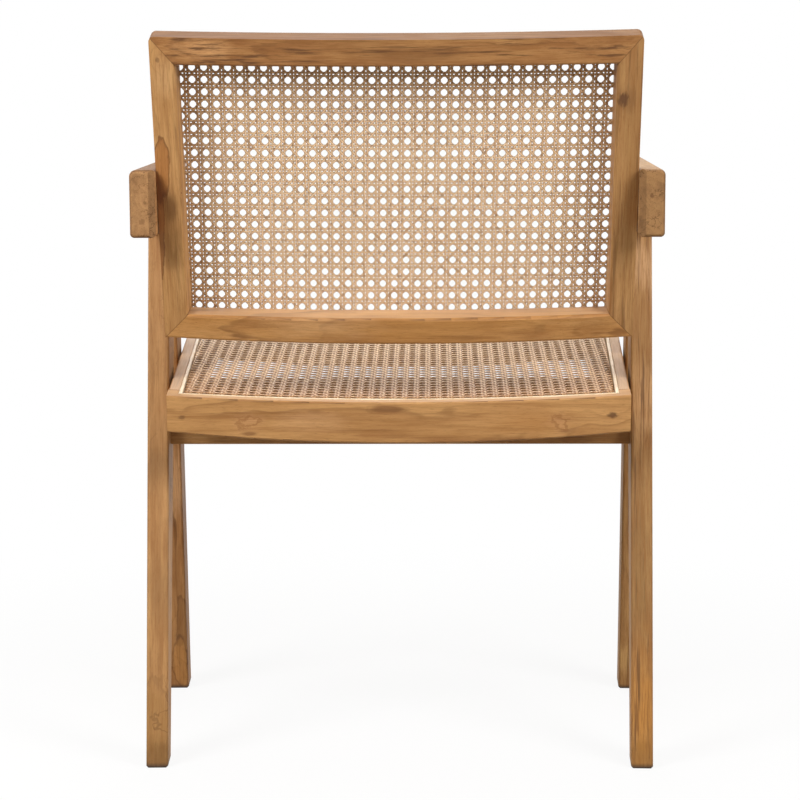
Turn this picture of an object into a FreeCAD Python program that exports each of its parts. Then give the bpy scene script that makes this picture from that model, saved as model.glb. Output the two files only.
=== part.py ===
import FreeCAD, Part
import math
import os
import re

import Sketcher

# A cane armchair: two V-shaped side frames under level armrests, a curved cane back that leans
# between the armrests, and a dished cane seat that rests on two stretchers.
# +Z is up, the sitter faces -Y, and +X is the sitter's left.
# "Reach" is a distance forward from the rear edge of the rear feet, along a side frame.

# Driving sizes, in millimetres and degrees
SIZES = {
    "rear_foot_y": "189",
    "foot_inner_half": "254.4",
    "splay": "2.28",
    "leg_thick": "24",
    "leg_height": "585",
    "leg_round": "3",
    "foot_chamfer": "2",
    "rear_foot_width": "42",
    "rear_top_reach": "150",
    "front_foot_reach": "332",
    "front_foot_width": "46",
    "front_top_reach": "280",
    "apex_reach": "218",
    "crotch_drop": "49",
    "arm_width": "27",
    "arm_height": "71",
    "arm_length": "468",
    "arm_rear_over": "36",
    "arm_crown": "7",
    "arm_round": "4.5",
    "arm_end_round": "4",
    "arm_facet_width": "7",
    "arm_facet_depth": "5",
    "back_recline": "17.5",
    "back_length": "336",
    "back_thick": "25",
    "back_rise": "61.4",
    "back_reach": "34",
    "back_side_gap": "0.4",
    "back_rear_sag": "15",
    "back_front_sag": "12",
    "back_corner_round": "6",
    "back_edge_round": "3",
    "back_outer_round": "5",
    "stile_width": "29",
    "stile_slant": "3",
    "top_rail_width": "30",
    "bottom_rail_width": "28",
    "top_rail_arch": "1.2",
    "bottom_rail_bow": "2",
    "cane_mid_sag": "3.5",
    "cane_thick": "1.4",
    "cane_turn_in": "5.5",
    "cane_opening": "19",
    "groove_width": "6.4",
    "groove_depth": "7",
    "groove_lip": "9",
    "seating_gap": "0.2",
    "spline_proud": "0.6",
    "spline_ease": "0.9",
    "seat_reach": "26.2",
    "seat_height": "410.9",
    "seat_slope": "5.04",
    "seat_length": "430",
    "seat_side_gap": "3.2",
    "seat_sag": "8.9",
    "seat_rail_width": "32",
    "seat_rail_height": "40.2",
    "seat_rail_bow": "14.5",
    "seat_edge_round": "2",
    "seat_groove_edge": "12",
    "stretcher_width": "25",
    "stretcher_height": "37",
    "stretcher_round": "2",
    "tenon_width": "16",
    "tenon_height": "18",
    "tenon_length": "14",
    "tenon_gap": "0.4",
    "dowel_radius": "5",
    "dowel_gap": "0.15",
    "dowel_end_gap": "0.5",
    "arm_dowel_depth": "25",
    "apex_dowel_depth": "20",
    "apex_dowel_rise": "12",
    "mount_dowel_in_arm": "18",
    "mount_dowel_in_stile": "12",
    "mount_dowel_depth": "11",
    "mount_dowel_spread": "34",
    "key_length": "20",
    "key_width": "10",
    "key_thick": "6",
    "key_depth": "10",
    "corner_dowel_radius": "4",
    "corner_dowel_in_rail": "18",
    "corner_dowel_in_side": "22",
    "corner_dowel_upper": "17",
    "corner_dowel_lower": "31",
    "screw_radius": "2.4",
    "screw_head_radius": "4.6",
    "screw_head_height": "3.2",
    "screw_sink": "6",
    "screw_bite": "24",
}

# Room past the finished faces for every cutting shape
SPARE = "20"

doc = FreeCAD.newDocument("cane_armchair")
sheet = doc.addObject("Spreadsheet::Sheet", "Sizes")
for row, (alias, text) in enumerate(SIZES.items(), start=1):
    sheet.set("A%d" % row, alias)
    sheet.set("B%d" % row, text)
    sheet.setAlias("B%d" % row, alias)
doc.recompute()

nodes = []


# Expressions

def bound(text):
    """The expression with every size name pointing at its cell."""
    return re.sub(r"[a-z][a-z_]+", lambda m: "Sizes." + m[0] if m[0] in SIZES else m[0], text)


def number(text):
    """What an expression is worth now, for first guesses that the constraints then hold."""
    return float(sheet.evalExpression(bound(text)))


def arc_radius(half_chord, rise):
    return "(((%s)^2 + (%s)^2) / (2 * (%s)))" % (half_chord, rise, rise)


def arc_drop(radius, x):
    """How far an arc has fallen from its crown at the distance x from the middle."""
    return "(%s - sqrt(%s^2 - (%s)^2))" % (radius, radius, x)


# Frames: each turns a point of its own into a place in the chair, as three expressions

BACK_HEIGHT = "(seat_height + back_rise)"


def side_point(side, reach, outward, height):
    x = "%d * (foot_inner_half + (%s) * cos(splay) + (%s) * sin(splay))" % (side, outward, reach)
    y = "rear_foot_y + (%s) * sin(splay) - (%s) * cos(splay)" % (outward, reach)
    return x, y, height


def leaning_point(base_reach, base_height, lean, x, y, z):
    across = "rear_foot_y - %s + (%s) * cos(%s) + (%s) * sin(%s)" % (base_reach, y, lean, z, lean)
    up = "%s - (%s) * sin(%s) + (%s) * cos(%s)" % (base_height, y, lean, z, lean)
    return x, across, up


def back_point(x, y, z):
    return leaning_point("back_reach", BACK_HEIGHT, "back_recline", x, y, z)


def seat_point(x, y, z):
    return leaning_point("seat_reach", "seat_height", "seat_slope", x, y, z)


def place(item, point, yaw="0", pitch="0", roll="0"):
    """Bind the placement: turn about X by roll, Y by pitch and Z by yaw, then move to the point."""
    vector = "create(<<vector>>; %s; %s; %s)" % tuple(point)
    rotation = "create(<<rotation>>; %s; %s; %s)" % (yaw, pitch, roll)
    item.setExpression("Placement", bound("create(<<placement>>; %s; %s)" % (vector, rotation)))


def place_side(item, side):
    place(item, side_point(side, "0", "0", "0"), yaw="%d * splay" % side)


def place_back(item):
    place(item, back_point("0", "0", "0"), roll="-back_recline")


def place_seat(item):
    place(item, seat_point("0", "0", "0"), roll="-seat_slope")


# Sketches and features

def add_segment(sketch, start, end, radius):
    """A line, or an arc when a radius is given: positive turns left. Returns its start and end ends."""
    p = FreeCAD.Vector(number(start[0]), number(start[1]), 0)
    q = FreeCAD.Vector(number(end[0]), number(end[1]), 0)
    if radius is None:
        return sketch.addGeometry(Part.LineSegment(p, q), False), 1, 2
    size = number(radius)
    chord = q - p
    left = FreeCAD.Vector(-chord.y, chord.x, 0).normalize()
    rise = math.sqrt(size * size - chord.Length * chord.Length / 4)
    centre = (p + q) * 0.5 + left * math.copysign(rise, size)
    angle_p = math.atan2(p.y - centre.y, p.x - centre.x)
    angle_q = math.atan2(q.y - centre.y, q.x - centre.x)
    circle = Part.Circle(centre, FreeCAD.Vector(0, 0, 1), abs(size))
    if size > 0:
        index = sketch.addGeometry(Part.ArcOfCircle(circle, angle_p, angle_q), False)
        ends = (1, 2)
    else:
        index = sketch.addGeometry(Part.ArcOfCircle(circle, angle_q, angle_p), False)
        ends = (2, 1)
    hold = sketch.addConstraint(Sketcher.Constraint("Radius", index, abs(size)))
    sketch.setExpression("Constraints[%d]" % hold, bound("abs(%s)" % radius))
    return (index,) + ends


def outline(body, plane, *loops, lift="0"):
    """A sketch of closed loops. A corner is x, y and, where an arc leads on, its radius."""
    sketch = body.newObject("Sketcher::SketchObject", body.Name + "_outline")
    support = [f for f in body.Origin.OriginFeatures if f.Role == plane][0]
    sketch.AttachmentSupport = [(support, "")]
    sketch.MapMode = "FlatFace"
    sketch.setExpression("AttachmentOffset.Base.z", bound(lift))
    for corners in loops:
        segments = []
        for corner, following in zip(corners, corners[1:] + corners[:1]):
            radius = corner[2] if len(corner) > 2 else None
            segments.append(add_segment(sketch, corner, following, radius))
        for before, after in zip(segments, segments[1:] + segments[:1]):
            sketch.addConstraint(Sketcher.Constraint("Coincident", before[0], before[2], after[0], after[1]))
        for segment, corner in zip(segments, corners):
            for kind, text in (("DistanceX", corner[0]), ("DistanceY", corner[1])):
                value = number(text)
                hold = sketch.addConstraint(Sketcher.Constraint(kind, -1, 1, segment[0], segment[1], value))
                sketch.setExpression("Constraints[%d]" % hold, bound(text))
    return sketch


def new_body(name):
    body = doc.addObject("PartDesign::Body", name)
    body.AllowCompound = True
    return body


def pad(body, sketch, length, other_way=None, turned=False):
    feature = body.newObject("PartDesign::Pad", body.Name + "_pad")
    feature.Profile = sketch
    feature.setExpression("Length", bound(length))
    if other_way is not None:
        feature.SideType = "Two sides"
        feature.setExpression("Length2", bound(other_way))
    feature.Reversed = turned
    return feature


def carve(body, sketch):
    """Cut the sketch's area right through the body, both ways, and make sure that it removed wood."""
    doc.recompute()
    before = body.Shape.Volume
    feature = body.newObject("PartDesign::Pocket", body.Name + "_carve")
    feature.Profile = sketch
    feature.Type = "ThroughAll"
    feature.SideType = "Symmetric"
    doc.recompute()
    if body.Shape.Volume >= before:
        raise RuntimeError("%s was not carved" % body.Name)
    return feature


def dress(body, kind, size_name, size, chosen):
    """Fillet or chamfer the edges of the body that the test chooses."""
    doc.recompute()
    base = body.Tip
    names = ["Edge%d" % (n + 1) for n, edge in enumerate(base.Shape.Edges) if chosen(edge)]
    feature = body.newObject("PartDesign::" + kind, body.Name + "_" + kind.lower())
    feature.Base = (base, names)
    feature.setExpression(size_name, bound(size))
    return feature


def round_edges(body, radius, chosen):
    return dress(body, "Fillet", "Radius", radius, chosen)


def direction(edge):
    """The straight way from one end of an edge to the other."""
    span = edge.Vertexes[-1].Point - edge.Vertexes[0].Point
    return span.normalize() if span.Length > 1e-6 else span


def long_edges(edge):
    return edge.Length > number("4 * stretcher_width")


def box(name, length, width, height, point, roll="0"):
    solid = doc.addObject("Part::Box", name)
    solid.setExpression("Length", bound(length))
    solid.setExpression("Width", bound(width))
    solid.setExpression("Height", bound(height))
    place(solid, point, roll=roll)
    return solid


def peg(name, radius, length, point, yaw="0", pitch="0", roll="0"):
    solid = doc.addObject("Part::Cylinder", name)
    solid.setExpression("Radius", bound(radius))
    solid.setExpression("Height", bound(length))
    place(solid, point, yaw, pitch, roll)
    return solid


def cut(label, blank, tools):
    """The finished piece: its blank less every socket and groove."""
    joined = doc.addObject("Part::MultiFuse", label + "_cuts")
    joined.Shapes = tools
    piece = doc.addObject("Part::Cut", label)
    piece.Base = blank
    piece.Tool = joined if len(tools) > 1 else tools[0]
    if len(tools) == 1:
        doc.removeObject(joined.Name)
    keep(piece, label)
    return piece


def group(label, solids):
    """One node for a set of like pieces."""
    together = doc.addObject("Part::Compound", label)
    together.Links = solids
    keep(together, label)
    return together


def keep(item, label):
    item.Label = label
    nodes.append(item)


# Legs and armrests

SIDES = {"left": 1, "right": -1}
CROTCH_HEIGHT = "(leg_height - crotch_drop)"

REAR_LEG = [("0", "0"), ("-rear_foot_width", "0"), ("-apex_reach", CROTCH_HEIGHT),
            ("-apex_reach", "leg_height"), ("-rear_top_reach", "leg_height")]
FRONT_LEG = [("-front_foot_reach", "0"), ("-front_foot_reach - front_foot_width", "0"),
             ("-front_top_reach", "leg_height"), ("-apex_reach", "leg_height"),
             ("-apex_reach", CROTCH_HEIGHT)]


def slanted(edge):
    """The long edges that run down a leg, not those of its joint, its top or its foot."""
    way = direction(edge)
    return abs(way.z) > 0.1 and abs(way.y) > 0.01


def at_floor(edge):
    return all(abs(vertex.Point.z) < 1e-6 for vertex in edge.Vertexes)


def leg_blank(name, side, corners):
    body = new_body(name + "_blank")
    pad(body, outline(body, "YZ_Plane", corners), "leg_thick", turned=side < 0)
    round_edges(body, "leg_round", slanted)
    dress(body, "Chamfer", "Size", "foot_chamfer", at_floor)
    place_side(body, side)
    return body


def along_arm(edge):
    return abs(direction(edge).y) > 0.9


def arm_blank(name, side):
    body = new_body(name + "_blank")
    front = "arm_rear_over - arm_length"
    top = "leg_height + arm_height"
    corners = [("arm_rear_over", "leg_height"), ("arm_rear_over", top), (front, top), (front, "leg_height")]
    pad(body, outline(body, "YZ_Plane", corners), "arm_width", turned=side < 0)
    doc.recompute()
    outer_x = side * number("arm_width")
    top_z = number(top)

    def outer_top(edge):
        middle = edge.CenterOfMass
        return along_arm(edge) and abs(middle.x - outer_x) < 1e-3 and abs(middle.z - top_z) < 1e-3

    round_edges(body, "arm_crown", outer_top)
    round_edges(body, "arm_round", lambda edge: along_arm(edge) and sharp(edge, side))
    round_edges(body, "arm_end_round", lambda edge: abs(direction(edge).y) < 1e-6)
    carve(body, outline(body, "XY_Plane", arm_facet(side)))
    place_side(body, side)
    return body


def arm_facet(side):
    """The upright facet on the inner corner of an armrest's rear end."""
    inner = "%d * -arm_facet_width" % side
    outer = "%d * 2 * arm_facet_width" % side
    behind = "arm_rear_over + arm_facet_depth"
    return [(inner, "arm_rear_over - 2 * arm_facet_depth"), (outer, behind), (inner, behind)]


def sharp(edge, side):
    """The three square edges of an armrest, away from its crowned one."""
    middle = edge.CenterOfMass
    inner = abs(middle.x) < 1e-3
    outer = abs(middle.x - side * number("arm_width")) < 1e-3
    lower = abs(middle.z - number("leg_height")) < 1e-3
    return inner or (outer and lower)


def arm_dowels(side, name, gap, end_gap):
    """Four upright dowels a side: two in the top of each leg, running up into the armrest."""
    spans = {"rear": ("rear_top_reach", "apex_reach"), "front": ("apex_reach", "front_top_reach")}
    pegs = {}
    for leg, (near, far) in spans.items():
        pegs[leg] = []
        for share in (1, 3):
            reach = "(%s + (%s - %s) * %d / 4)" % (near, far, near, share)
            foot = "leg_height - arm_dowel_depth - %s" % end_gap
            point = side_point(side, reach, "leg_thick / 2", foot)
            length = "2 * arm_dowel_depth + 2 * %s" % end_gap
            pegs[leg].append(peg("%s_%s_%d" % (name, leg, share), "dowel_radius + %s" % gap, length, point))
    return pegs


def apex_dowel(side, name, gap, end_gap):
    """A level dowel through the joint of the two legs, just above the crotch of the V."""
    reach = "apex_reach - apex_dowel_depth - %s" % end_gap
    point = side_point(side, reach, "leg_thick / 2", "%s + apex_dowel_rise" % CROTCH_HEIGHT)
    length = "2 * apex_dowel_depth + 2 * %s" % end_gap
    return peg(name, "dowel_radius + %s" % gap, length, point, yaw="%d * splay" % side, roll="90")


# Back frame

BACK_HALF = "(foot_inner_half - sin(splay) * arm_rear_over / 2 - back_side_gap)"
OPEN_HALF = "(%s - stile_width)" % BACK_HALF
OPEN_REAR_HALF = "(%s + stile_slant)" % OPEN_HALF
MITRE_WIDTH = "(stile_width - stile_slant)"
REAR_ARC = arc_radius(BACK_HALF, "back_rear_sag")
FRONT_ARC = arc_radius(BACK_HALF, "back_front_sag")
CORNER_CUT = "(back_corner_round * (1 - cos(45)))"


def front_face(x):
    """Depth of the back frame's hollow front face at the distance x from the middle."""
    return "(back_front_sag - back_thick - %s)" % arc_drop(FRONT_ARC, x)


def top_rail_outline():
    top = "back_length"
    inner = "(back_length - top_rail_width)"
    mitre = "(back_length - %s)" % CORNER_CUT
    straight = "(%s - back_corner_round)" % BACK_HALF
    corner = "(%s - %s)" % (BACK_HALF, CORNER_CUT)
    return [("-" + straight, top), (straight, top, "-back_corner_round"), (corner, mitre),
            (OPEN_REAR_HALF, inner, arc_radius(OPEN_REAR_HALF, "top_rail_arch")), ("-" + OPEN_REAR_HALF, inner),
            ("-" + corner, mitre, "-back_corner_round")]


def bottom_rail_outline():
    return [("-" + BACK_HALF, "0", arc_radius(BACK_HALF, "bottom_rail_bow")), (BACK_HALF, "0"),
            (OPEN_REAR_HALF, "bottom_rail_width"), ("-" + OPEN_REAR_HALF, "bottom_rail_width")]


def stile_outline(side):
    turn = "%d * back_corner_round" % side
    outer = "%d * %s" % (side, BACK_HALF)
    inner = "%d * %s" % (side, OPEN_HALF)
    mitre = "%d * %s" % (side, OPEN_REAR_HALF)
    corner = "%d * (%s - %s)" % (side, BACK_HALF, CORNER_CUT)
    return [(outer, "0"), (outer, "back_length - back_corner_round", turn),
            (corner, "back_length - " + CORNER_CUT), (mitre, "back_length - top_rail_width"),
            (inner, "back_length - top_rail_width"), (inner, "bottom_rail_width"), (mitre, "bottom_rail_width")]


def stile_slant(side):
    """What comes off a stile's inner face, so that it stands square to the bowed rear face."""
    rear = "(back_rear_sag - %s)" % arc_drop(REAR_ARC, OPEN_REAR_HALF)
    inner = "%d * %s" % (side, OPEN_HALF)
    outer = "%d * (%s + 2 * stile_slant)" % (side, OPEN_HALF)
    behind = "back_thick + 2 * %s" % rear
    return [(inner, "-back_thick"), (outer, behind), (inner, behind)]


def curve_back(body, rear_offset, front_offset):
    """Carve a piece of the back to the bow of its rear and front faces, each moved by an offset."""
    far = "back_rear_sag + back_thick + " + SPARE
    rear = "(%s)" % rear_offset
    front = "(%s - back_thick)" % front_offset
    behind = [("-" + BACK_HALF, rear, "-" + REAR_ARC), (BACK_HALF, rear),
              (BACK_HALF, far), ("-" + BACK_HALF, far)]
    before = [("-" + BACK_HALF, front, "-" + FRONT_ARC), (BACK_HALF, front),
              (BACK_HALF, "-(%s)" % far), ("-" + BACK_HALF, "-(%s)" % far)]
    carve(body, outline(body, "XY_Plane", behind))
    carve(body, outline(body, "XY_Plane", before))


def outer_rear(edge):
    """The rear arris along the outside of the back frame, save under its bottom rail."""
    middle = edge.CenterOfMass
    outside = abs(middle.x) > number(BACK_HALF + " - 1") or middle.z > number("back_length - 1")
    return long_edges(edge) and outside and middle.y > number("-back_thick / 2")


def back_blank(name, corners, slant=None):
    body = new_body(name + "_blank")
    pad(body, outline(body, "XZ_Plane", corners), "back_thick + 1", other_way="back_rear_sag + 1")
    curve_back(body, "0", "0")
    if slant is not None:
        carve(body, outline(body, "XY_Plane", slant))
    round_edges(body, "back_edge_round", lambda edge: long_edges(edge) and not outer_rear(edge))
    if any(outer_rear(edge) for edge in body.Tip.Shape.Edges):
        round_edges(body, "back_outer_round", outer_rear)
    place_back(body)
    return body


def back_band(name, half, floor, face, low, width):
    """A bent strip that follows the hollow front face, from a depth behind it to a height before it."""
    body = new_body(name)
    edge_floor = "%s + (%s)" % (front_face(half), floor)
    edge_face = "%s - (%s)" % (front_face(half), face)
    corners = [("-" + half, edge_face, "-" + FRONT_ARC), (half, edge_face),
               (half, edge_floor, FRONT_ARC), ("-" + half, edge_floor)]
    pad(body, outline(body, "XY_Plane", corners, lift=low), width)
    place_back(body)
    return body


GROOVE_IN = "(%s + groove_lip)" % OPEN_HALF
GROOVE_OUT = "(%s + groove_width)" % GROOVE_IN
GROOVE_LOW = "(bottom_rail_width - groove_lip - groove_width)"
GROOVE_HIGH = "(back_length - top_rail_width + groove_lip + groove_width)"
CANE_HALF = "(%s + seating_gap + cane_thick)" % GROOVE_IN
CANE_LOW = "(%s + groove_width - seating_gap - cane_thick)" % GROOVE_LOW
CANE_HIGH = "(%s - groove_width + seating_gap + cane_thick)" % GROOVE_HIGH
SPLINE_WIDTH = "(groove_width - cane_thick - 3 * seating_gap)"


def back_groove():
    """The four runs of the groove that the cane and its splines are pressed into."""
    strips = []
    for name, low in (("back_groove_low", GROOVE_LOW), ("back_groove_high", GROOVE_HIGH + " - groove_width")):
        strips.append(back_band(name, GROOVE_OUT, "groove_depth", SPARE, low, "groove_width"))
    for side_name, side in SIDES.items():
        start = GROOVE_IN if side > 0 else "-" + GROOVE_OUT
        front = "%s - %s" % (front_face(GROOVE_OUT), SPARE)
        strips.append(box("back_groove_" + side_name, "groove_width", SPARE + " + groove_depth",
                          "%s - %s" % (GROOVE_HIGH, GROOVE_LOW), back_point(start, front, GROOVE_LOW),
                          roll="-back_recline"))
    return strips


def back_splines():
    """Four reeds: the side ones run the full height, the others fit between them."""
    depth = "groove_depth - seating_gap"
    short_half = "(%s - seating_gap)" % CANE_HALF
    runs = {"bottom": GROOVE_LOW + " + seating_gap",
            "top": "%s - seating_gap - %s" % (GROOVE_HIGH, SPLINE_WIDTH)}
    for end, low in runs.items():
        body = back_band("back_spline_" + end, short_half, depth, "spline_proud", low, SPLINE_WIDTH)
        ease_spline(body)
        keep(body, "back_spline_" + end)
    for side_name, side in SIDES.items():
        body = new_body("back_spline_" + side_name)
        near = "%d * (%s + seating_gap)" % (side, CANE_HALF)
        far = "%d * (%s - seating_gap)" % (side, GROOVE_OUT)
        face = "%s - spline_proud" % front_face(GROOVE_OUT)
        floor = "%s + %s" % (front_face(GROOVE_OUT), depth)
        corners = [(near, face), (far, face), (far, floor), (near, floor)]
        pad(body, outline(body, "XY_Plane", corners, lift=GROOVE_LOW + " + seating_gap"),
            "%s - %s - 2 * seating_gap" % (GROOVE_HIGH, GROOVE_LOW))
        ease_spline(body)
        place_back(body)
        keep(body, "back_spline_" + side_name)


def ease_spline(body):
    """Ease the two long edges of a back spline that face the sitter."""
    doc.recompute()
    middle = body.Tip.Shape.BoundBox.Center.y
    dress(body, "Chamfer", "Size", "spline_ease",
          lambda edge: long_edges(edge) and edge.CenterOfMass.y < middle)


def cane_section(body, sag, height):
    face = "(%s - seating_gap)" % front_face(CANE_HALF)
    radius = arc_radius(CANE_HALF, sag)
    corners = [("-" + CANE_HALF, face + " - cane_thick", "-" + radius), (CANE_HALF, face + " - cane_thick"),
               (CANE_HALF, face, radius), ("-" + CANE_HALF, face)]
    return outline(body, "XY_Plane", corners, lift=height)


# Open mesh of the two cane sheets, much coarser than the weave itself
MESH_COLUMNS = 12
BACK_MESH_ROWS = 8
SEAT_MESH_ROWS = 11


def mesh_row(count, step):
    """Where each opening of a row starts, for a row that is centred on zero."""
    return ["(%s * %s - cane_opening / 2)" % (step, n - (count - 1) / 2) for n in range(count)]


def back_mesh():
    across = "(2 * %s / %d)" % (OPEN_HALF, MESH_COLUMNS)
    height = "(back_length - top_rail_width - bottom_rail_width)"
    middle = "(bottom_rail_width + %s / 2)" % height
    depth = "back_thick + " + SPARE
    openings = []
    for row, z in enumerate(mesh_row(BACK_MESH_ROWS, "(%s / %d)" % (height, BACK_MESH_ROWS))):
        for column, x in enumerate(mesh_row(MESH_COLUMNS, across)):
            point = back_point(x, "-(%s)" % depth, "%s + %s" % (middle, z))
            openings.append(box("back_opening_%d_%d" % (row, column), "cane_opening", depth, "cane_opening",
                                point, roll="-back_recline"))
    return openings


def seat_mesh():
    across = "(2 * (%s - seat_rail_width) / %d)" % (SEAT_REAR_HALF, MESH_COLUMNS)
    along = "((seat_length - 2 * seat_rail_width) / %d)" % SEAT_MESH_ROWS
    openings = []
    for row, forward in enumerate(mesh_row(SEAT_MESH_ROWS, along)):
        for column, x in enumerate(mesh_row(MESH_COLUMNS, across)):
            point = seat_point(x, "%s - seat_length / 2" % forward, "-" + SPARE)
            openings.append(box("seat_opening_%d_%d" % (row, column), "cane_opening", "cane_opening",
                                "2 * " + SPARE, point, roll="-seat_slope"))
    return openings


def back_cane():
    """The woven sheet: bent with the rails at its ends, drawn nearly flat by its tension between them."""
    sheet_body = new_body("back_cane_sheet")
    rail_sag = arc_drop(FRONT_ARC, CANE_HALF)
    sections = []
    for share in (-1, -0.75, -0.4, 0, 0.4, 0.75, 1):
        sag = "(cane_mid_sag + (%s - cane_mid_sag) * %s)" % (rail_sag, share ** 4)
        height = "(%s + (%s - %s) * %s)" % (CANE_LOW, CANE_HIGH, CANE_LOW, (1 + share) / 2)
        sections.append(cane_section(sheet_body, sag, height))
    loft = sheet_body.newObject("PartDesign::AdditiveLoft", "back_cane_loft")
    loft.Profile = sections[0]
    loft.Sections = sections[1:]
    place_back(sheet_body)

    inside_sheet = "(seating_gap + cane_thick / 2)"
    edges = []
    for name, low in (("back_cane_low", CANE_LOW), ("back_cane_high", CANE_HIGH + " - cane_thick")):
        edges.append(back_band(name, CANE_HALF, "cane_turn_in", inside_sheet, low, "cane_thick"))
    for side_name, side in SIDES.items():
        body = new_body("back_cane_" + side_name)
        far = "%d * %s" % (side, CANE_HALF)
        near = "%d * (%s - cane_thick)" % (side, CANE_HALF)
        face = "%s - %s" % (front_face(CANE_HALF), inside_sheet)
        floor = "%s + cane_turn_in" % front_face(CANE_HALF)
        pad(body, outline(body, "XY_Plane", [(near, face), (far, face), (far, floor), (near, floor)],
                          lift=CANE_LOW), "%s - %s" % (CANE_HIGH, CANE_LOW))
        place_back(body)
        edges.append(body)
    whole = doc.addObject("Part::MultiFuse", "back_cane_whole")
    whole.Shapes = [sheet_body] + edges
    cut("back_cane_panel", whole, back_mesh())


def mitre_keys(name, gap):
    """Loose keys square across the four mitres of the back frame."""
    body = new_body(name)
    loops = []
    for x_side in (1, -1):
        for low in (True, False):
            rail = "bottom_rail_width" if low else "top_rail_width"
            z_side = 1 if low else -1
            slope = "sqrt(%s^2 + %s^2)" % (MITRE_WIDTH, rail)
            centre_x = "%s - %s / 2" % (BACK_HALF, MITRE_WIDTH)
            centre_z = rail + " / 2"
            long_half = "(key_length / 2 + %s)" % gap
            wide_half = "(key_width / 2 + %s)" % gap
            corners = []
            for a, b in ((1, 1), (-1, 1), (-1, -1), (1, -1)):
                x = "(%s + (%d * %s * %s - %d * %s * %s) / %s)" % (
                    centre_x, a, long_half, rail, b, wide_half, MITRE_WIDTH, slope)
                z = "(%s + (%d * %s * %s + %d * %s * %s) / %s)" % (
                    centre_z, a, long_half, MITRE_WIDTH, b, wide_half, rail, slope)
                height = z if z_side > 0 else "back_length - " + z
                corners.append(("%d * %s" % (x_side, x), height))
            loops.append(corners)
    start = "key_depth - key_thick / 2 - %s" % gap
    pad(body, outline(body, "XZ_Plane", *loops, lift=start), "key_thick + 2 * %s" % gap)
    place_back(body)
    return body


def mount_dowels(name, gap, end_gap):
    """Two level dowels a side that carry the back frame on the armrests."""
    pegs = {1: [], -1: []}
    for side in (1, -1):
        for step in (-1, 1):
            height = "leg_height + arm_height / 2 + %d * mount_dowel_spread / 2" % step
            rise = "(%s - %s - mount_dowel_depth * sin(back_recline))" % (height, BACK_HEIGHT)
            along = "(%s / cos(back_recline))" % rise
            inner = "%s - mount_dowel_in_stile - %s" % (BACK_HALF, end_gap)
            outer = "%s + back_side_gap + mount_dowel_in_arm + %s" % (BACK_HALF, end_gap)
            start = inner if side > 0 else "-(%s)" % outer
            length = "(%s) - (%s)" % (outer, inner)
            pegs[side].append(peg("%s_%d_%d" % (name, side + 1, step + 1), "dowel_radius + %s" % gap, length,
                                  back_point(start, "-mount_dowel_depth", along), pitch="90"))
    return pegs


# Seat

SEAT_REAR_HALF = "(foot_inner_half + tan(splay) * seat_reach - seat_side_gap)"
SEAT_FRONT_HALF = "(%s + tan(splay) * seat_length * cos(seat_slope))" % SEAT_REAR_HALF
DISH_ARC = arc_radius(SEAT_FRONT_HALF, "seat_sag")
BOW_ARC = arc_radius(SEAT_FRONT_HALF, "seat_rail_bow")


def seat_half(forward, inset="0"):
    """Half of the seat's width at a distance from its rear edge, less an inset."""
    share = "(%s) / seat_length" % forward
    return "(%s + (%s - %s) * %s - (%s))" % (SEAT_REAR_HALF, SEAT_FRONT_HALF, SEAT_REAR_HALF, share, inset)


def dish(x):
    """Height of the seat's dished top at the distance x from the middle."""
    return "(%s - seat_sag)" % arc_drop(DISH_ARC, x)


def across_plan(rear, front, inset="0"):
    """The plan of a strip that runs across the seat between two distances from its rear edge."""
    return [("-" + seat_half(rear, inset), "-(%s)" % rear), (seat_half(rear, inset), "-(%s)" % rear),
            (seat_half(front, inset), "-(%s)" % front), ("-" + seat_half(front, inset), "-(%s)" % front)]


def along_plan(side, rear, front, outer, inner):
    """The plan of a strip along one side of the seat, between two insets from its edge."""
    corners = []
    for forward, inset in ((rear, outer), (rear, inner), (front, inner), (front, outer)):
        corners.append(("%d * %s" % (side, seat_half(forward, inset)), "-(%s)" % forward))
    return corners


def dish_top(body, rise="0"):
    """Carve away all that stands above the dished top, raised by rise."""
    high = "seat_sag + " + SPARE
    corners = [("-" + SEAT_FRONT_HALF, rise, DISH_ARC), (SEAT_FRONT_HALF, rise),
               (SEAT_FRONT_HALF, high), ("-" + SEAT_FRONT_HALF, high)]
    carve(body, outline(body, "XZ_Plane", corners))


def bow_bottom(body, height, radius):
    """Carve away all that hangs below an arc whose ends are at the given height."""
    low = "%s - 4 * seat_sag - %s" % (height, SPARE)
    corners = [("-" + SEAT_FRONT_HALF, height, radius), (SEAT_FRONT_HALF, height),
               (SEAT_FRONT_HALF, low), ("-" + SEAT_FRONT_HALF, low)]
    carve(body, outline(body, "XZ_Plane", corners))


def seat_blank(name, plan, depth):
    body = new_body(name + "_blank")
    pad(body, outline(body, "XY_Plane", plan), "2", other_way=depth)
    dish_top(body)
    return body


def finish_seat_blank(body):
    round_edges(body, "seat_edge_round", long_edges)
    place_seat(body)
    return body


def seat_rail(name, rear, front):
    body = seat_blank(name, across_plan(rear, front), "seat_rail_height + seat_rail_bow + 2")
    bow_bottom(body, "-seat_rail_height", BOW_ARC)
    return finish_seat_blank(body)


def seat_side(name, side):
    plan = along_plan(side, "seat_rail_width", "seat_length - seat_rail_width", "0", "seat_rail_width")
    return finish_seat_blank(seat_blank(name, plan, "seat_rail_height"))


SEAT_GROOVE_IN = "(seat_groove_edge + groove_width)"
SEAT_CANE_EDGE = "(%s - seating_gap - cane_thick)" % SEAT_GROOVE_IN


def seat_band(name, half, start, width, floor, face):
    """A bent strip that follows the dished top across the seat, from a depth below it to a height above it."""
    body = new_body(name)
    high = "%s + %s" % (dish(half), face)
    low = "%s - (%s)" % (dish(half), floor)
    corners = [("-" + half, low, DISH_ARC), (half, low), (half, high, "-" + DISH_ARC), ("-" + half, high)]
    pad(body, outline(body, "XZ_Plane", corners, lift=start), width)
    place_seat(body)
    return body


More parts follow.
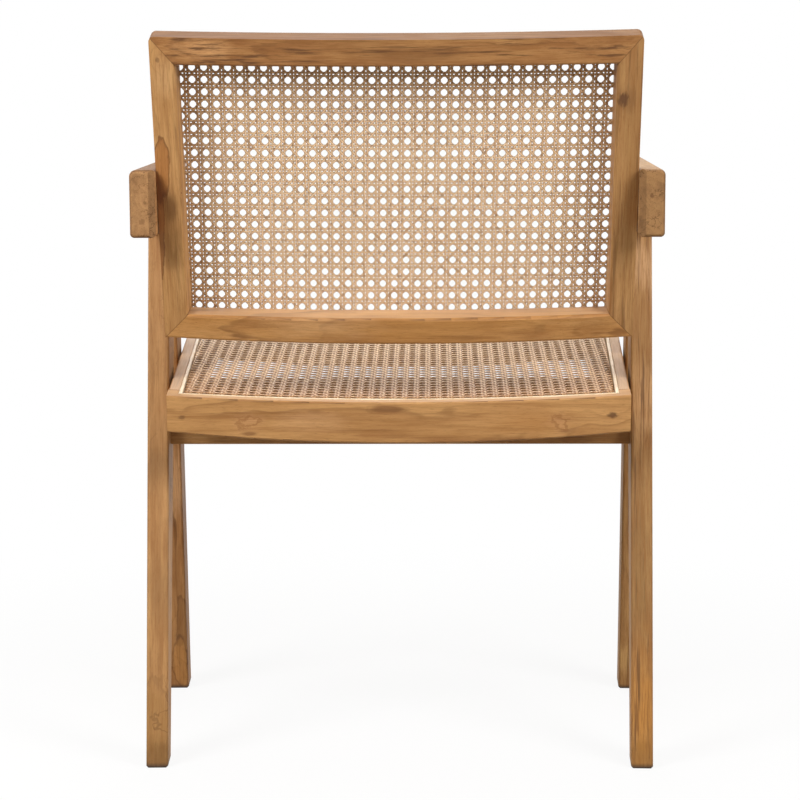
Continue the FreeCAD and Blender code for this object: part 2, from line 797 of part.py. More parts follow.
def seat_groove():
    strips = []
    for name, start in (("seat_groove_rear", "seat_groove_edge"),
                        ("seat_groove_front", "seat_length - " + SEAT_GROOVE_IN)):
        half = seat_half(start, "seat_groove_edge")
        strips.append(seat_band(name, half, start, "groove_width", "groove_depth", SPARE))
    for side_name, side in SIDES.items():
        body = new_body("seat_groove_" + side_name)
        plan = along_plan(side, "seat_groove_edge", "seat_length - seat_groove_edge",
                          "seat_groove_edge", SEAT_GROOVE_IN)
        floor = "%s - groove_depth" % dish(seat_half("0", "seat_groove_edge"))
        pad(body, outline(body, "XY_Plane", plan, lift=floor), "groove_depth + " + SPARE)
        place_seat(body)
        strips.append(body)
    return strips


def seat_splines():
    """Four reeds round the seat: the side ones run the full length, the others fit between them."""
    runs = {"rear": "seat_groove_edge + seating_gap",
            "front": "seat_length - seat_groove_edge - seating_gap - " + SPLINE_WIDTH}
    for end, start in runs.items():
        half = seat_half("seat_groove_edge", "seat_groove_edge + 2 * seating_gap + " + SPLINE_WIDTH)
        if end == "front":
            half = seat_half("seat_length - " + SEAT_GROOVE_IN,
                             "seat_groove_edge + 2 * seating_gap + " + SPLINE_WIDTH)
        body = seat_band("seat_spline_" + end, half, start, SPLINE_WIDTH,
                         "groove_depth - seating_gap", "spline_proud")
        ease_seat_spline(body)
        keep(body, "seat_spline_" + end)
    for side_name, side in SIDES.items():
        body = new_body("seat_spline_" + side_name)
        ends = "seat_groove_edge + seating_gap"
        plan = along_plan(side, ends, "seat_length - (%s)" % ends,
                          ends, "seat_groove_edge + seating_gap + " + SPLINE_WIDTH)
        floor = "%s - groove_depth + seating_gap" % dish(seat_half("0", "seat_groove_edge"))
        pad(body, outline(body, "XY_Plane", plan, lift=floor), "groove_depth + " + SPARE)
        dish_top(body, "spline_proud")
        ease_seat_spline(body)
        place_seat(body)
        keep(body, "seat_spline_" + side_name)


def ease_seat_spline(body):
    """Ease the two long edges of a seat spline that face up."""
    doc.recompute()
    middle = body.Tip.Shape.BoundBox.Center.z
    dress(body, "Chamfer", "Size", "spline_ease",
          lambda edge: long_edges(edge) and edge.CenterOfMass.z > middle)


def seat_cane():
    """The woven seat sheet with its edge turned down into the groove all round."""
    rear, front = SEAT_CANE_EDGE, "(seat_length - %s)" % SEAT_CANE_EDGE
    shell = new_body("seat_cane_shell")
    pad(shell, outline(shell, "XY_Plane", across_plan(rear, front, SEAT_CANE_EDGE)), SPARE,
        other_way="seat_sag + cane_turn_in + 2")
    dish_top(shell, "seating_gap + cane_thick")
    bow_bottom(shell, "-cane_turn_in", DISH_ARC)
    place_seat(shell)
    inside = new_body("seat_cane_inside")
    inset = "(%s + cane_thick)" % SEAT_CANE_EDGE
    pad(inside, outline(inside, "XY_Plane", across_plan(inset, "(seat_length - %s)" % inset, inset)), SPARE,
        other_way="seat_sag + cane_turn_in + " + SPARE)
    dish_top(inside, "seating_gap")
    place_seat(inside)
    cut("seat_cane_panel", shell, [inside] + seat_mesh())


def corner_dowels(name, gap, end_gap):
    """Two dowels in each corner of the seat frame, from the cross rails into the side rails."""
    pegs = []
    for side in (1, -1):
        for end in ("rear", "front"):
            joint = "seat_rail_width" if end == "rear" else "seat_length - seat_rail_width"
            x = "%d * %s" % (side, seat_half(joint, "seat_rail_width / 2"))
            rear_depth = "corner_dowel_in_rail" if end == "rear" else "corner_dowel_in_side"
            y = "-(%s) + %s + %s" % (joint, rear_depth, end_gap)
            length = "corner_dowel_in_rail + corner_dowel_in_side + 2 * %s" % end_gap
            for level in ("upper", "lower"):
                point = seat_point(x, y, "-corner_dowel_" + level)
                pegs.append(peg("%s_%d_%s_%s" % (name, side + 1, end, level), "corner_dowel_radius + %s" % gap,
                                length, point, roll="90 - seat_slope"))
    return pegs


# Stretchers and screws

RAIL_BOTTOM = "(seat_height - seat_rail_height)"
REAR_LEG_MIDDLE = ("((rear_top_reach * %s / leg_height + rear_foot_width"
                   " + (apex_reach - rear_foot_width) * %s / %s) / 2)"
                   % (RAIL_BOTTOM, RAIL_BOTTOM, CROTCH_HEIGHT))
FRONT_LEG_MIDDLE = ("((2 * front_foot_reach + front_foot_width - (front_foot_reach - apex_reach) * %s / %s"
                    " - (front_foot_reach + front_foot_width - front_top_reach) * %s / leg_height) / 2)"
                    % (RAIL_BOTTOM, CROTCH_HEIGHT, RAIL_BOTTOM))
STRETCHERS = {"rear": REAR_LEG_MIDDLE, "front": FRONT_LEG_MIDDLE}
STRETCHER_MIDDLE = "(seat_rail_height + stretcher_height / 2)"


def stretcher_forward(end):
    """How far a stretcher's centre line lies from the seat's rear edge."""
    return "((%s - seat_reach) / cos(seat_slope) - %s * tan(seat_slope))" % (STRETCHERS[end], STRETCHER_MIDDLE)


def leg_face(forward):
    """Half of the room between the legs, at a distance from the seat's rear edge and a stretcher's height."""
    reach = "(seat_reach + (%s) * cos(seat_slope) + %s * sin(seat_slope))" % (forward, STRETCHER_MIDDLE)
    return "(foot_inner_half + tan(splay) * %s)" % reach


def stretcher_blank(end):
    """A bar under the side rails, with a stub tenon in the leg at each end."""
    body = new_body(end + "_stretcher_blank")
    middle = stretcher_forward(end)
    rear = "(%s - stretcher_width / 2)" % middle
    front = "(%s + stretcher_width / 2)" % middle
    reach_rear = "(%s - seating_gap)" % leg_face(rear)
    reach_front = "(%s - seating_gap)" % leg_face(front)
    plan = [("-" + reach_rear, "-" + rear), (reach_rear, "-" + rear),
            (reach_front, "-" + front), ("-" + reach_front, "-" + front)]
    pad(body, outline(body, "XY_Plane", plan, lift="-seat_rail_height - stretcher_height"), "stretcher_height")
    round_edges(body, "stretcher_round", lambda edge: long_edges(edge) and
                edge.CenterOfMass.z < -number(STRETCHER_MIDDLE))
    half = "tenon_width / 2"
    tenon = []
    for y_side, z_side in ((1, 1), (-1, 1), (-1, -1), (1, -1)):
        tenon.append(("-%s + %d * %s" % (middle, y_side, half),
                      "-%s + %d * tenon_height / 2" % (STRETCHER_MIDDLE, z_side)))
    reach = "%s + tenon_length" % leg_face(middle)
    pad(body, outline(body, "YZ_Plane", tenon), reach, other_way=reach)
    place_seat(body)
    return body


def mortise(end):
    """The room that a stretcher's tenons take in the legs, with its clearance."""
    middle = stretcher_forward(end)
    reach = "(%s + tenon_length + tenon_gap)" % leg_face(middle)
    point = seat_point("-" + reach, "-%s - tenon_width / 2 - tenon_gap" % middle,
                       "-%s - tenon_height / 2 - tenon_gap" % STRETCHER_MIDDLE)
    return box(end + "_mortise", "2 * " + reach, "tenon_width + 2 * tenon_gap", "tenon_height + 2 * tenon_gap",
               point, roll="-seat_slope")


def seat_screws():
    """Countersunk screws up through the stretchers, and the holes that they need."""
    screws, holes = [], []
    bottom = "-seat_rail_height - stretcher_height"
    for end in STRETCHERS:
        forward = stretcher_forward(end)
        for side in (1, -1):
            name = "%s_screw_%d" % (end, side + 1)
            x = "%d * %s" % (side, seat_half(forward, "seat_rail_width / 2"))
            y = "-" + forward
            head_low = seat_point(x, y, bottom + " + screw_sink")
            head = doc.addObject("Part::Cone", name + "_head")
            head.setExpression("Radius1", bound("screw_head_radius"))
            head.setExpression("Radius2", bound("screw_radius"))
            head.setExpression("Height", bound("screw_head_height"))
            place(head, head_low, roll="-seat_slope")
            length = "stretcher_height - screw_sink + screw_bite"
            shank = peg(name + "_shank", "screw_radius", length, head_low, roll="-seat_slope")
            screw = doc.addObject("Part::Fuse", name)
            screw.Base = head
            screw.Tool = shank
            screws.append(screw)
            holes.append(peg(name + "_hole", "screw_radius + dowel_gap", length + " + dowel_end_gap",
                             head_low, roll="-seat_slope"))
            holes.append(peg(name + "_bore", "screw_head_radius + dowel_gap",
                             "screw_sink + screw_head_height + " + SPARE,
                             seat_point(x, y, "%s - %s" % (bottom, SPARE)), roll="-seat_slope"))
    return screws, holes


# Assembly

def build_side_frames(mortises, mount_sockets):
    arm_pegs, apex_pegs = [], []
    for side_name, side in SIDES.items():
        pegs = arm_dowels(side, "arm_dowel_" + side_name, "0", "0")
        sockets = arm_dowels(side, "arm_socket_" + side_name, "dowel_gap", "dowel_end_gap")
        arm_pegs += pegs["rear"] + pegs["front"]
        apex_pegs.append(apex_dowel(side, "apex_dowel_" + side_name, "0", "0"))
        apex_socket = apex_dowel(side, "apex_socket_" + side_name, "dowel_gap", "dowel_end_gap")
        for end, corners in (("rear", REAR_LEG), ("front", FRONT_LEG)):
            label = "%s_%s_leg" % (side_name, end)
            cut(label, leg_blank(label, side, corners), sockets[end] + [apex_socket, mortises[end]])
        label = side_name + "_armrest"
        cut(label, arm_blank(label, side), sockets["rear"] + sockets["front"] + mount_sockets[side])
    group("armrest_dowels", arm_pegs)
    group("apex_dowels", apex_pegs)


def build_back(mount_sockets):
    groove = back_groove()
    key_sockets = mitre_keys("back_key_sockets", "dowel_gap")
    cut("back_top_rail", back_blank("back_top_rail", top_rail_outline()), groove + [key_sockets])
    cut("back_bottom_rail", back_blank("back_bottom_rail", bottom_rail_outline()), groove + [key_sockets])
    for side_name, side in SIDES.items():
        label = "back_%s_stile" % side_name
        blank = back_blank(label, stile_outline(side), stile_slant(side))
        cut(label, blank, groove + [key_sockets] + mount_sockets[side])
    keep(mitre_keys("back_mitre_keys", "0"), "back_mitre_keys")
    back_cane()
    back_splines()
    pegs = mount_dowels("mount_dowel", "0", "0")
    group("back_mount_dowels", pegs[1] + pegs[-1])


def build_seat(holes):
    groove = seat_groove()
    sockets = corner_dowels("seat_socket", "dowel_gap", "dowel_end_gap")
    cut("seat_rear_rail", seat_rail("seat_rear_rail", "0", "seat_rail_width"), groove + sockets)
    cut("seat_front_rail", seat_rail("seat_front_rail", "seat_length - seat_rail_width", "seat_length"),
        groove + sockets)
    for side_name, side in SIDES.items():
        label = "seat_%s_rail" % side_name
        cut(label, seat_side(label, side), groove + sockets + holes)
    seat_cane()
    seat_splines()
    group("seat_corner_dowels", corner_dowels("seat_dowel", "0", "0"))


def build_stretchers(screws, holes):
    for end in STRETCHERS:
        cut(end + "_stretcher", stretcher_blank(end), holes)
    group("seat_screws", screws)


def write_parts():
    """Check the document, then write each node's solids to a file of its own."""
    doc.recompute()
    faults = [item.Name for item in doc.Objects if "Invalid" in item.State or "Error" in item.State]
    faults += [item.Label for item in nodes if item.Shape.isNull() or not item.Shape.isValid()]
    if faults:
        raise RuntimeError("not built: " + ", ".join(faults))
    os.makedirs("parts", exist_ok=True)
    for item in nodes:
        item.Shape.exportStep("parts/%s.step" % item.Label)
        print(item.Label, len(item.Shape.Solids), round(item.Shape.Volume))


mount_sockets = mount_dowels("mount_socket", "dowel_gap", "dowel_end_gap")
screws, holes = seat_screws()
build_side_frames({end: mortise(end) for end in STRETCHERS}, mount_sockets)
build_back(mount_sockets)
build_seat(holes)
build_stretchers(screws, holes)
write_parts()
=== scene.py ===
import math

import bpy
import numpy as np
from mathutils import Matrix, Vector


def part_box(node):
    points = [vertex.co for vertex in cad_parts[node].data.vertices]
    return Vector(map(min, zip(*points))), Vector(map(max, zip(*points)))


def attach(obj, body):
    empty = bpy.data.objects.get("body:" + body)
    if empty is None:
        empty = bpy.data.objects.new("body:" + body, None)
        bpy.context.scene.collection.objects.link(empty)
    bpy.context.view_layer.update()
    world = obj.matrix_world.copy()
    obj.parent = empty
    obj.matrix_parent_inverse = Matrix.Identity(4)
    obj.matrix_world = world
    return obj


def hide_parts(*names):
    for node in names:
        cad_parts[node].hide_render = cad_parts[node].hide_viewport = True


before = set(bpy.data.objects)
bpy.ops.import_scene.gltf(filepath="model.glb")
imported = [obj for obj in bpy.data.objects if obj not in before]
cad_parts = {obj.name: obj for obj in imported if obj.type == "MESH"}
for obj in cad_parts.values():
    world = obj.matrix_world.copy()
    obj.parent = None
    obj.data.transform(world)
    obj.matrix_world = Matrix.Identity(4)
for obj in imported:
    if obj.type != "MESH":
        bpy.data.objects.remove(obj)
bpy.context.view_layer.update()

# The looks of a cane armchair, seen from behind: woven cane in the back and the seat, oiled teak
# with its grain along each member, pale reed splines, a white studio.
# Lengths are in metres. +Z is up, the sitter faces -Y, +X is the sitter's left.

MM = 0.001
LEFT, RIGHT = 1, -1
WHITE = (1, 1, 1, 1)

# Places and sizes that the solids have too
REAR_FOOT_Y = 189 * MM
SPLAY = math.radians(2.28)
REAR_LEG_RAKE = 0.256
FRONT_LEG_RAKE = -0.2
BACK_ORIGIN = Vector((0, REAR_FOOT_Y - 34 * MM, 472.3 * MM))
BACK_LEAN = math.radians(17.5)
BACK_HALF_WIDTH = 253.28 * MM
BACK_LENGTH = 336 * MM
BACK_DEPTH = 25 * MM
BACK_FRONT_SAG = 12 * MM
STILE_WIDTH = 29 * MM
STILE_SLANT = 3 * MM
TOP_RAIL_WIDTH = 30 * MM
BOTTOM_RAIL_WIDTH = 28 * MM
SEAT_ORIGIN = Vector((0, REAR_FOOT_Y - 26.2 * MM, 410.9 * MM))
SEAT_SLOPE = math.radians(5.04)
SEAT_LENGTH = 430 * MM
SEAT_REAR_HALF = 252.24 * MM
SEAT_FRONT_HALF = 269.3 * MM
SEAT_SAG = 8.9 * MM
GROOVE_LIP = 9 * MM
SEAT_GROOVE_EDGE = 12 * MM
GROOVE_WIDTH = 6.4 * MM
SEATING_GAP = 0.2 * MM
SHEET_THICK = 1.4 * MM
TURN_IN = 4.5 * MM


# Mesh building

def add_mesh(name, points, faces, smooth=True):
    mesh = bpy.data.meshes.new(name)
    mesh.from_pydata([tuple(p) for p in points], [], faces)
    mesh.validate()
    mesh.update()
    if smooth:
        mesh.polygons.foreach_set("use_smooth", [True] * len(mesh.polygons))
    piece = bpy.data.objects.new(name, mesh)
    bpy.context.scene.collection.objects.link(piece)
    return piece


def leaning(origin, lean, x, y, z):
    """Points of a leaning frame (x across, y to the rear, z up the slope), as places in the chair."""
    across = origin.y + y * math.cos(lean) + z * math.sin(lean)
    up = origin.z - y * math.sin(lean) + z * math.cos(lean)
    return np.stack([origin.x + x, across, up], axis=-1)


# Cane sheets
# A sheet turns weave coordinates (x across, v along, h out of the sheet) into places in the chair.

def turn_over(value, low, high):
    """Clamp to the sheet's edge, and say how far past it the strand runs down into the groove."""
    kept = np.clip(value, low, high)
    return kept, np.abs(value - kept)


def arc_height(radius, x):
    return radius - np.sqrt(radius * radius - x * x)


BACK_FRONT_RADIUS = (BACK_HALF_WIDTH ** 2 + BACK_FRONT_SAG ** 2) / (2 * BACK_FRONT_SAG)
BACK_CANE_HALF = BACK_HALF_WIDTH - STILE_WIDTH + GROOVE_LIP + SEATING_GAP + SHEET_THICK / 2
BACK_CANE_LOW = BOTTOM_RAIL_WIDTH - GROOVE_LIP - SEATING_GAP - SHEET_THICK / 2
BACK_CANE_HIGH = BACK_LENGTH - TOP_RAIL_WIDTH + GROOVE_LIP + SEATING_GAP + SHEET_THICK / 2
BACK_CANE_RAIL_SAG = arc_height(BACK_FRONT_RADIUS, BACK_CANE_HALF)
BACK_CANE_MID_SAG = 3.5 * MM
BACK_CANE_EDGE_Y = BACK_FRONT_SAG - BACK_DEPTH - BACK_CANE_RAIL_SAG - SEATING_GAP - SHEET_THICK / 2

# How quickly the bend of the rails dies out away from them
RAIL_BEND_POWER = 4


def back_sheet(x, v, h):
    """Bent with the rails at its ends and drawn nearly flat between them; h points to the rear."""
    x, past_side = turn_over(x, -BACK_CANE_HALF, BACK_CANE_HALF)
    v, past_end = turn_over(v, BACK_CANE_LOW, BACK_CANE_HIGH)
    share = 2 * (v - BACK_CANE_LOW) / (BACK_CANE_HIGH - BACK_CANE_LOW) - 1
    sag = BACK_CANE_MID_SAG + (BACK_CANE_RAIL_SAG - BACK_CANE_MID_SAG) * share ** RAIL_BEND_POWER
    y = BACK_CANE_EDGE_Y + sag * (1 - (x / BACK_CANE_HALF) ** 2)
    return leaning(BACK_ORIGIN, BACK_LEAN, x, y + h + past_side + past_end, v)


def on_back_sheet(x, v):
    edge_x = BACK_CANE_HALF + TURN_IN
    return (np.abs(x) <= edge_x) & (v >= BACK_CANE_LOW - TURN_IN) & (v <= BACK_CANE_HIGH + TURN_IN)


SEAT_RADIUS = (SEAT_FRONT_HALF ** 2 + SEAT_SAG ** 2) / (2 * SEAT_SAG)
SEAT_CANE_EDGE = SEAT_GROOVE_EDGE + GROOVE_WIDTH - SEATING_GAP - SHEET_THICK / 2


def seat_cane_half(v):
    width = SEAT_REAR_HALF + (SEAT_FRONT_HALF - SEAT_REAR_HALF) * v / SEAT_LENGTH
    return width - SEAT_CANE_EDGE


def seat_sheet(x, v, h):
    """Dished across like the rails; v runs forward from the seat's rear edge and h points up."""
    v, past_end = turn_over(v, SEAT_CANE_EDGE, SEAT_LENGTH - SEAT_CANE_EDGE)
    x, past_side = turn_over(x, -seat_cane_half(v), seat_cane_half(v))
    z = arc_height(SEAT_RADIUS, x) - SEAT_SAG + SEATING_GAP + SHEET_THICK / 2
    return leaning(SEAT_ORIGIN, SEAT_SLOPE, x, -v, z + h - past_side - past_end)


def on_seat_sheet(x, v):
    edge = SEAT_CANE_EDGE - TURN_IN
    return (np.abs(x) <= seat_cane_half(v) + TURN_IN) & (v >= edge) & (v <= SEAT_LENGTH - edge)


# Six-way weave
# Lattice units: a hole's centre is at whole numbers plus a half, and strands run in pairs beside
# whole numbers. A strand has a width and a thickness.

PAIR_OFFSET = 0.13
BACK_STRAND = (2.3 * MM, 0.5 * MM)
SEAT_STRAND = (2.75 * MM, 0.75 * MM)
CROSSING_RISE = 0.27 * MM
DIAGONAL_RISE = 0.5 * MM
SAMPLES_PER_UNIT = 6
LEAST_SAMPLES = 3
ROUNDING = 1e-6

# Strands side by side get tones that lie this far apart in the noise
STRAND_TONE_STEP = 0.37

# Section of a strand, a flat six-sided ribbon: across in widths, up in thicknesses
SECTION = [(-0.5, 0.0), (-0.27, 0.42), (0.27, 0.42), (0.5, 0.0), (0.27, -0.5), (-0.27, -0.5)]


class Lattice:
    """Maps lattice units to a sheet's x and v. The two steps give a column's and a row's shift."""

    def __init__(self, hole, column_step, row_step):
        self.origin = np.array(hole) - 0.5 * np.array(column_step) - 0.5 * np.array(row_step)
        self.steps = np.array([column_step, row_step])
        self.inverse = np.linalg.inv(self.steps)

    def place(self, units):
        return self.origin + units @ self.steps

    def units(self, places):
        return (np.array(places) - self.origin) @ self.inverse


# The back's weave lies a little askew
BACK_LATTICE = Lattice((2.435 * MM, 162.67 * MM), (12.495 * MM, 0.022 * MM), (-0.216 * MM, 13.379 * MM))
SEAT_LATTICE = Lattice((0, SEAT_LENGTH / 2), (12.44 * MM, 0), (0, 12.44 * MM))


def pair_wave(offset):
    """Height of a strand near a crossing of pairs: over one strand, under the next, level midway."""
    near = np.sin(np.pi * offset / (2 * PAIR_OFFSET))
    far = np.sign(offset) * np.cos(np.pi / 2 * (np.abs(offset) - PAIR_OFFSET) / (0.5 - PAIR_OFFSET))
    return np.where(np.abs(offset) <= PAIR_OFFSET, near, far)


def from_whole(value):
    return value - np.round(value)


def samples(first, last):
    return np.arange(first, last + ROUNDING, 1 / SAMPLES_PER_UNIT)


def upright_strands(low, high):
    along = samples(math.floor(low[1]), math.ceil(high[1]))
    for column in range(math.floor(low[0]), math.ceil(high[0]) + 1):
        for side in (-1, 1):
            units = np.stack([np.full_like(along, column + side * PAIR_OFFSET), along], axis=-1)
            yield units, side * CROSSING_RISE * pair_wave(from_whole(along))


def level_strands(low, high):
    along = samples(math.floor(low[0]), math.ceil(high[0]))
    for row in range(math.floor(low[1]), math.ceil(high[1]) + 1):
        for side in (-1, 1):
            units = np.stack([along, np.full_like(along, row + side * PAIR_OFFSET)], axis=-1)
            yield units, -side * CROSSING_RISE * pair_wave(from_whole(along))


def diagonal_strands(low, high, slope):
    """Strands that cut the holes' corners, over the upright pairs and under the level ones, or reversed."""
    rows = math.ceil(high[1]) - math.floor(low[1]) + 1
    climb = samples(0, rows)
    start = math.floor(low[0]) - (rows if slope > 0 else 0)
    stop = math.ceil(high[0]) + (0 if slope > 0 else rows)
    for line in range(start, stop + 1):
        along = line + 0.5 + slope * climb
        units = np.stack([along, math.floor(low[1]) + climb], axis=-1)
        yield units, slope * DIAGONAL_RISE * np.cos(2 * np.pi * along)


def clip_strand(places, heights, inside):
    """The stretch of a strand that lies on the sheet and its turned-in edge."""
    kept = np.nonzero(inside(places[:, 0], places[:, 1]))[0]
    if len(kept) < LEAST_SAMPLES:
        return None
    stretch = slice(kept[0], kept[-1] + 1)
    return places[stretch], heights[stretch]


def ribbon_points(places, heights, strand_size, sheet):
    """The section's corners at each sample of a strand."""
    width, thickness = strand_size
    tangent = np.gradient(places, axis=0)
    tangent /= np.linalg.norm(tangent, axis=1, keepdims=True)
    lateral = np.stack([-tangent[:, 1], tangent[:, 0]], axis=-1)
    corners = []
    for across, rise in SECTION:
        spot = places + lateral * (across * width)
        corners.append(sheet(spot[:, 0], spot[:, 1], heights + rise * thickness))
    return np.stack(corners, axis=1).reshape(-1, 3)


def ribbon_faces(first, count):
    """Sides between the samples of a strand, and a cap at each end."""
    sides = len(SECTION)
    faces = []
    for step in range(count - 1):
        base = first + step * sides
        for corner in range(sides):
            following = (corner + 1) % sides
            faces.append((base + corner, base + following, base + sides + following, base + sides + corner))
    last = first + (count - 1) * sides
    faces.append(tuple(range(first + sides - 1, first - 1, -1)))
    faces.append(tuple(range(last, last + sides)))
    return faces


def weave_piece(name, strands, strand_size, lattice, sheet, inside):
    """One set of parallel strands as one mesh, each strand a closed ribbon."""
    sides = len(SECTION)
    points, faces = [], []
    marks = {"strand_along": [], "strand_across": [], "strand_number": []}
    first = 0
    for number, (units, heights) in enumerate(strands):
        clipped = clip_strand(lattice.place(units), heights, inside)
        if clipped is None:
            continue
        places, heights = clipped
        count = len(places)
        points.append(ribbon_points(places, heights, strand_size, sheet))
        faces += ribbon_faces(first, count)
        first += count * sides
        length = np.concatenate([[0], np.cumsum(np.linalg.norm(np.diff(places, axis=0), axis=1))])
        marks["strand_along"].append(np.repeat(length, sides))
        marks["strand_across"].append(np.tile([abs(across) for across, rise in SECTION], count))
        marks["strand_number"].append(np.full(count * sides, number * STRAND_TONE_STEP))
    piece = add_mesh(name, np.concatenate(points), faces)
    for label, values in marks.items():
        mark = piece.data.attributes.new(label, "FLOAT", "POINT")
        mark.data.foreach_set("value", np.concatenate(values).astype(np.float32))
    return piece


def weave_panel(name, node, strand_size, lattice, sheet, low, high, inside, material):
    corners = [(low[0], low[1]), (low[0], high[1]), (high[0], low[1]), (high[0], high[1])]
    units = lattice.units(corners)
    least, most = units.min(axis=0), units.max(axis=0)
    sets = {"upright": upright_strands(least, most), "level": level_strands(least, most),
            "rising": diagonal_strands(least, most, 1), "falling": diagonal_strands(least, most, -1)}
    for label, strands in sets.items():
        piece = weave_piece("%s_%s" % (name, label), strands, strand_size, lattice, sheet, inside)
        piece.data.materials.append(material)
        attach(piece, "root")
        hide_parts(node)


# Shader helpers

# Numbers of the colour sockets of a mix node
MIX_FIRST, MIX_SECOND, MIX_RESULT = 6, 7, 2


def new_shader(name):
    material = bpy.data.materials.new(name)
    material.use_nodes = True
    tree = material.node_tree
    tree.nodes.clear()
    output = tree.nodes.new("ShaderNodeOutputMaterial")
    surface = tree.nodes.new("ShaderNodeBsdfPrincipled")
    tree.links.new(surface.outputs[0], output.inputs[0])
    return material, tree, surface


def feed(tree, socket, value):
    """Link a socket to another, or set its own value."""
    if isinstance(value, bpy.types.NodeSocket):
        tree.links.new(value, socket)
    else:
        socket.default_value = value


def calc(tree, operation, *values):
    node = tree.nodes.new("ShaderNodeMath")
    node.operation = operation
    for socket, value in zip(node.inputs, values):
        feed(tree, socket, value)
    return node.outputs[0]


def combined(tree, operation, first, second):
    """Join two fields, where there may be no first one yet."""
    return second if first is None else calc(tree, operation, first, second)


def vector_calc(tree, operation, *values):
    node = tree.nodes.new("ShaderNodeVectorMath")
    node.operation = operation
    for socket, value in zip(node.inputs, values):
        feed(tree, socket, value)
    return node.outputs["Value" if operation in ("LENGTH", "DOT_PRODUCT") else "Vector"]


def dot(tree, vector, fixed):
    return vector_calc(tree, "DOT_PRODUCT", vector, tuple(fixed))


def split_axes(tree, vector):
    node = tree.nodes.new("ShaderNodeSeparateXYZ")
    tree.links.new(vector, node.inputs[0])
    return node.outputs


def noise(tree, vector, seed, detail, roughness=0.5):
    node = tree.nodes.new("ShaderNodeTexNoise")
    node.noise_dimensions = "4D"
    feed(tree, node.inputs["Vector"], vector)
    node.inputs["W"].default_value = seed
    node.inputs["Scale"].default_value = 1.0
    node.inputs["Detail"].default_value = detail
    node.inputs["Roughness"].default_value = roughness
    return node.outputs[0]


def span(tree, value, low, high, to_low=0.0, to_high=1.0):
    """A smooth step from one share at a low value to another at a high value."""
    node = tree.nodes.new("ShaderNodeMapRange")
    node.interpolation_type = "SMOOTHSTEP"
    feed(tree, node.inputs["Value"], value)
    for label, number in (("From Min", low), ("From Max", high), ("To Min", to_low), ("To Max", to_high)):
        node.inputs[label].default_value = number
    return node.outputs[0]


def blend(tree, factor, first, second, mode="MIX"):
    node = tree.nodes.new("ShaderNodeMix")
    node.data_type = "RGBA"
    node.blend_type = mode
    feed(tree, node.inputs["Factor"], factor)
    feed(tree, node.inputs[MIX_FIRST], first)
    feed(tree, node.inputs[MIX_SECOND], second)
    return node.outputs[MIX_RESULT]


def stain(tree, colour, over, field, *limits):
    """Lay a tone over a colour by the value of a field, with limits as span takes them."""
    return blend(tree, span(tree, field, *limits), colour, over)


def tone(red, green, blue):
    """A colour given as it looks on a screen, from 0 to 255, by the usual screen curve."""
    def linear(value):
        value /= 255
        return value / 12.92 if value <= 0.04045 else ((value + 0.055) / 1.055) ** 2.4
    return linear(red), linear(green), linear(blue), 1.0


def bump(tree, surface, height, strength, distance):
    node = tree.nodes.new("ShaderNodeBump")
    node.inputs["Strength"].default_value = strength
    node.inputs["Distance"].default_value = distance
    feed(tree, node.inputs["Height"], height)
    feed(tree, surface.inputs["Normal"], node.outputs[0])


def object_place(tree):
    return tree.nodes.new("ShaderNodeTexCoord").outputs["Object"]


def face_normal(tree):
    return tree.nodes.new("ShaderNodeNewGeometry").outputs["Normal"]


def stretched(tree, place, along, across):
    return vector_calc(tree, "MULTIPLY", place, (along, across, across))


# Teak: its tones

PALE = tone(212, 166, 110)
HONEY = tone(186, 135, 76)
YELLOW = tone(188, 142, 88)
WARM = tone(178, 128, 78)
OLIVE = tone(166, 124, 74)
TAN = tone(182, 136, 86)
BROWN = tone(140, 91, 45)
STREAK = tone(84, 50, 23)
GRIME = tone(52, 36, 24)
END_PALE = tone(168, 126, 82)
END_DARK = tone(110, 76, 45)
# Pale film for top faces: dust with a painted sheen
DUST_AND_SHEEN = tone(206, 176, 144)
# Film for the rear seat rail's top: rubbed wear with a painted sheen
RUBBED_AND_SHEEN = tone(190, 146, 94)
# Dark film for top faces: hand wear with painted shade
HAND_WEAR_AND_SHADE = tone(98, 66, 38)
KNOT_HEART = tone(200, 152, 108)
UNSHADED = (1, 1, 1)
SHEEN = 0.4

# Teak: layers of noise
# Cells in a metre along and across the grain, a step from the member's seed, a detail, a roughness

WANDER = (7.0, 26.0, 0.0, 3.0, 0.5)
FEATHER = (22.0, 620.0, 1.9, 2.0, 0.5)
RING_STRENGTH = (9.0, 30.0, 2.3, 2.0, 0.5)
BROAD = (5.0, 24.0, 3.1, 2.0, 0.5)
CLOUD = (14.0, 60.0, 4.4, 3.0, 0.5)
BAND = (5.0, 110.0, 6.0, 3.0, 0.6)
VEIN = (9.0, 230.0, 8.2, 4.0, 0.6)
FIBRE = (34.0, 800.0, 5.7, 3.0, 0.6)
PORES = (150.0, 2600.0, 9.9, 1.0, 0.5)
KNOT_EDGE = (160.0, 420.0, 6.5, 3.0, 0.5)
TONGUE_EDGE = (26.0, 85.0, 11.3, 4.0, 0.6)
SOUND_KNOT_EDGE = (70.0, 120.0, 12.7, 4.0, 0.65)
MOTTLE = (70.0, 70.0, 7.1, 5.0, 0.65)
SPECKS = (800.0, 800.0, 8.8, 2.0, 0.5)

NEARLY_UPRIGHT = 0.8


def grain_axes(along):
    """A turn that brings the grain's direction to X."""
    first = Vector(along).normalized()
    helper = Vector((0, 0, 1)) if abs(first.z) < NEARLY_UPRIGHT else Vector((0, 1, 0))
    third = first.cross(helper).normalized()
    second = third.cross(first)
    return Matrix((first, second, third))


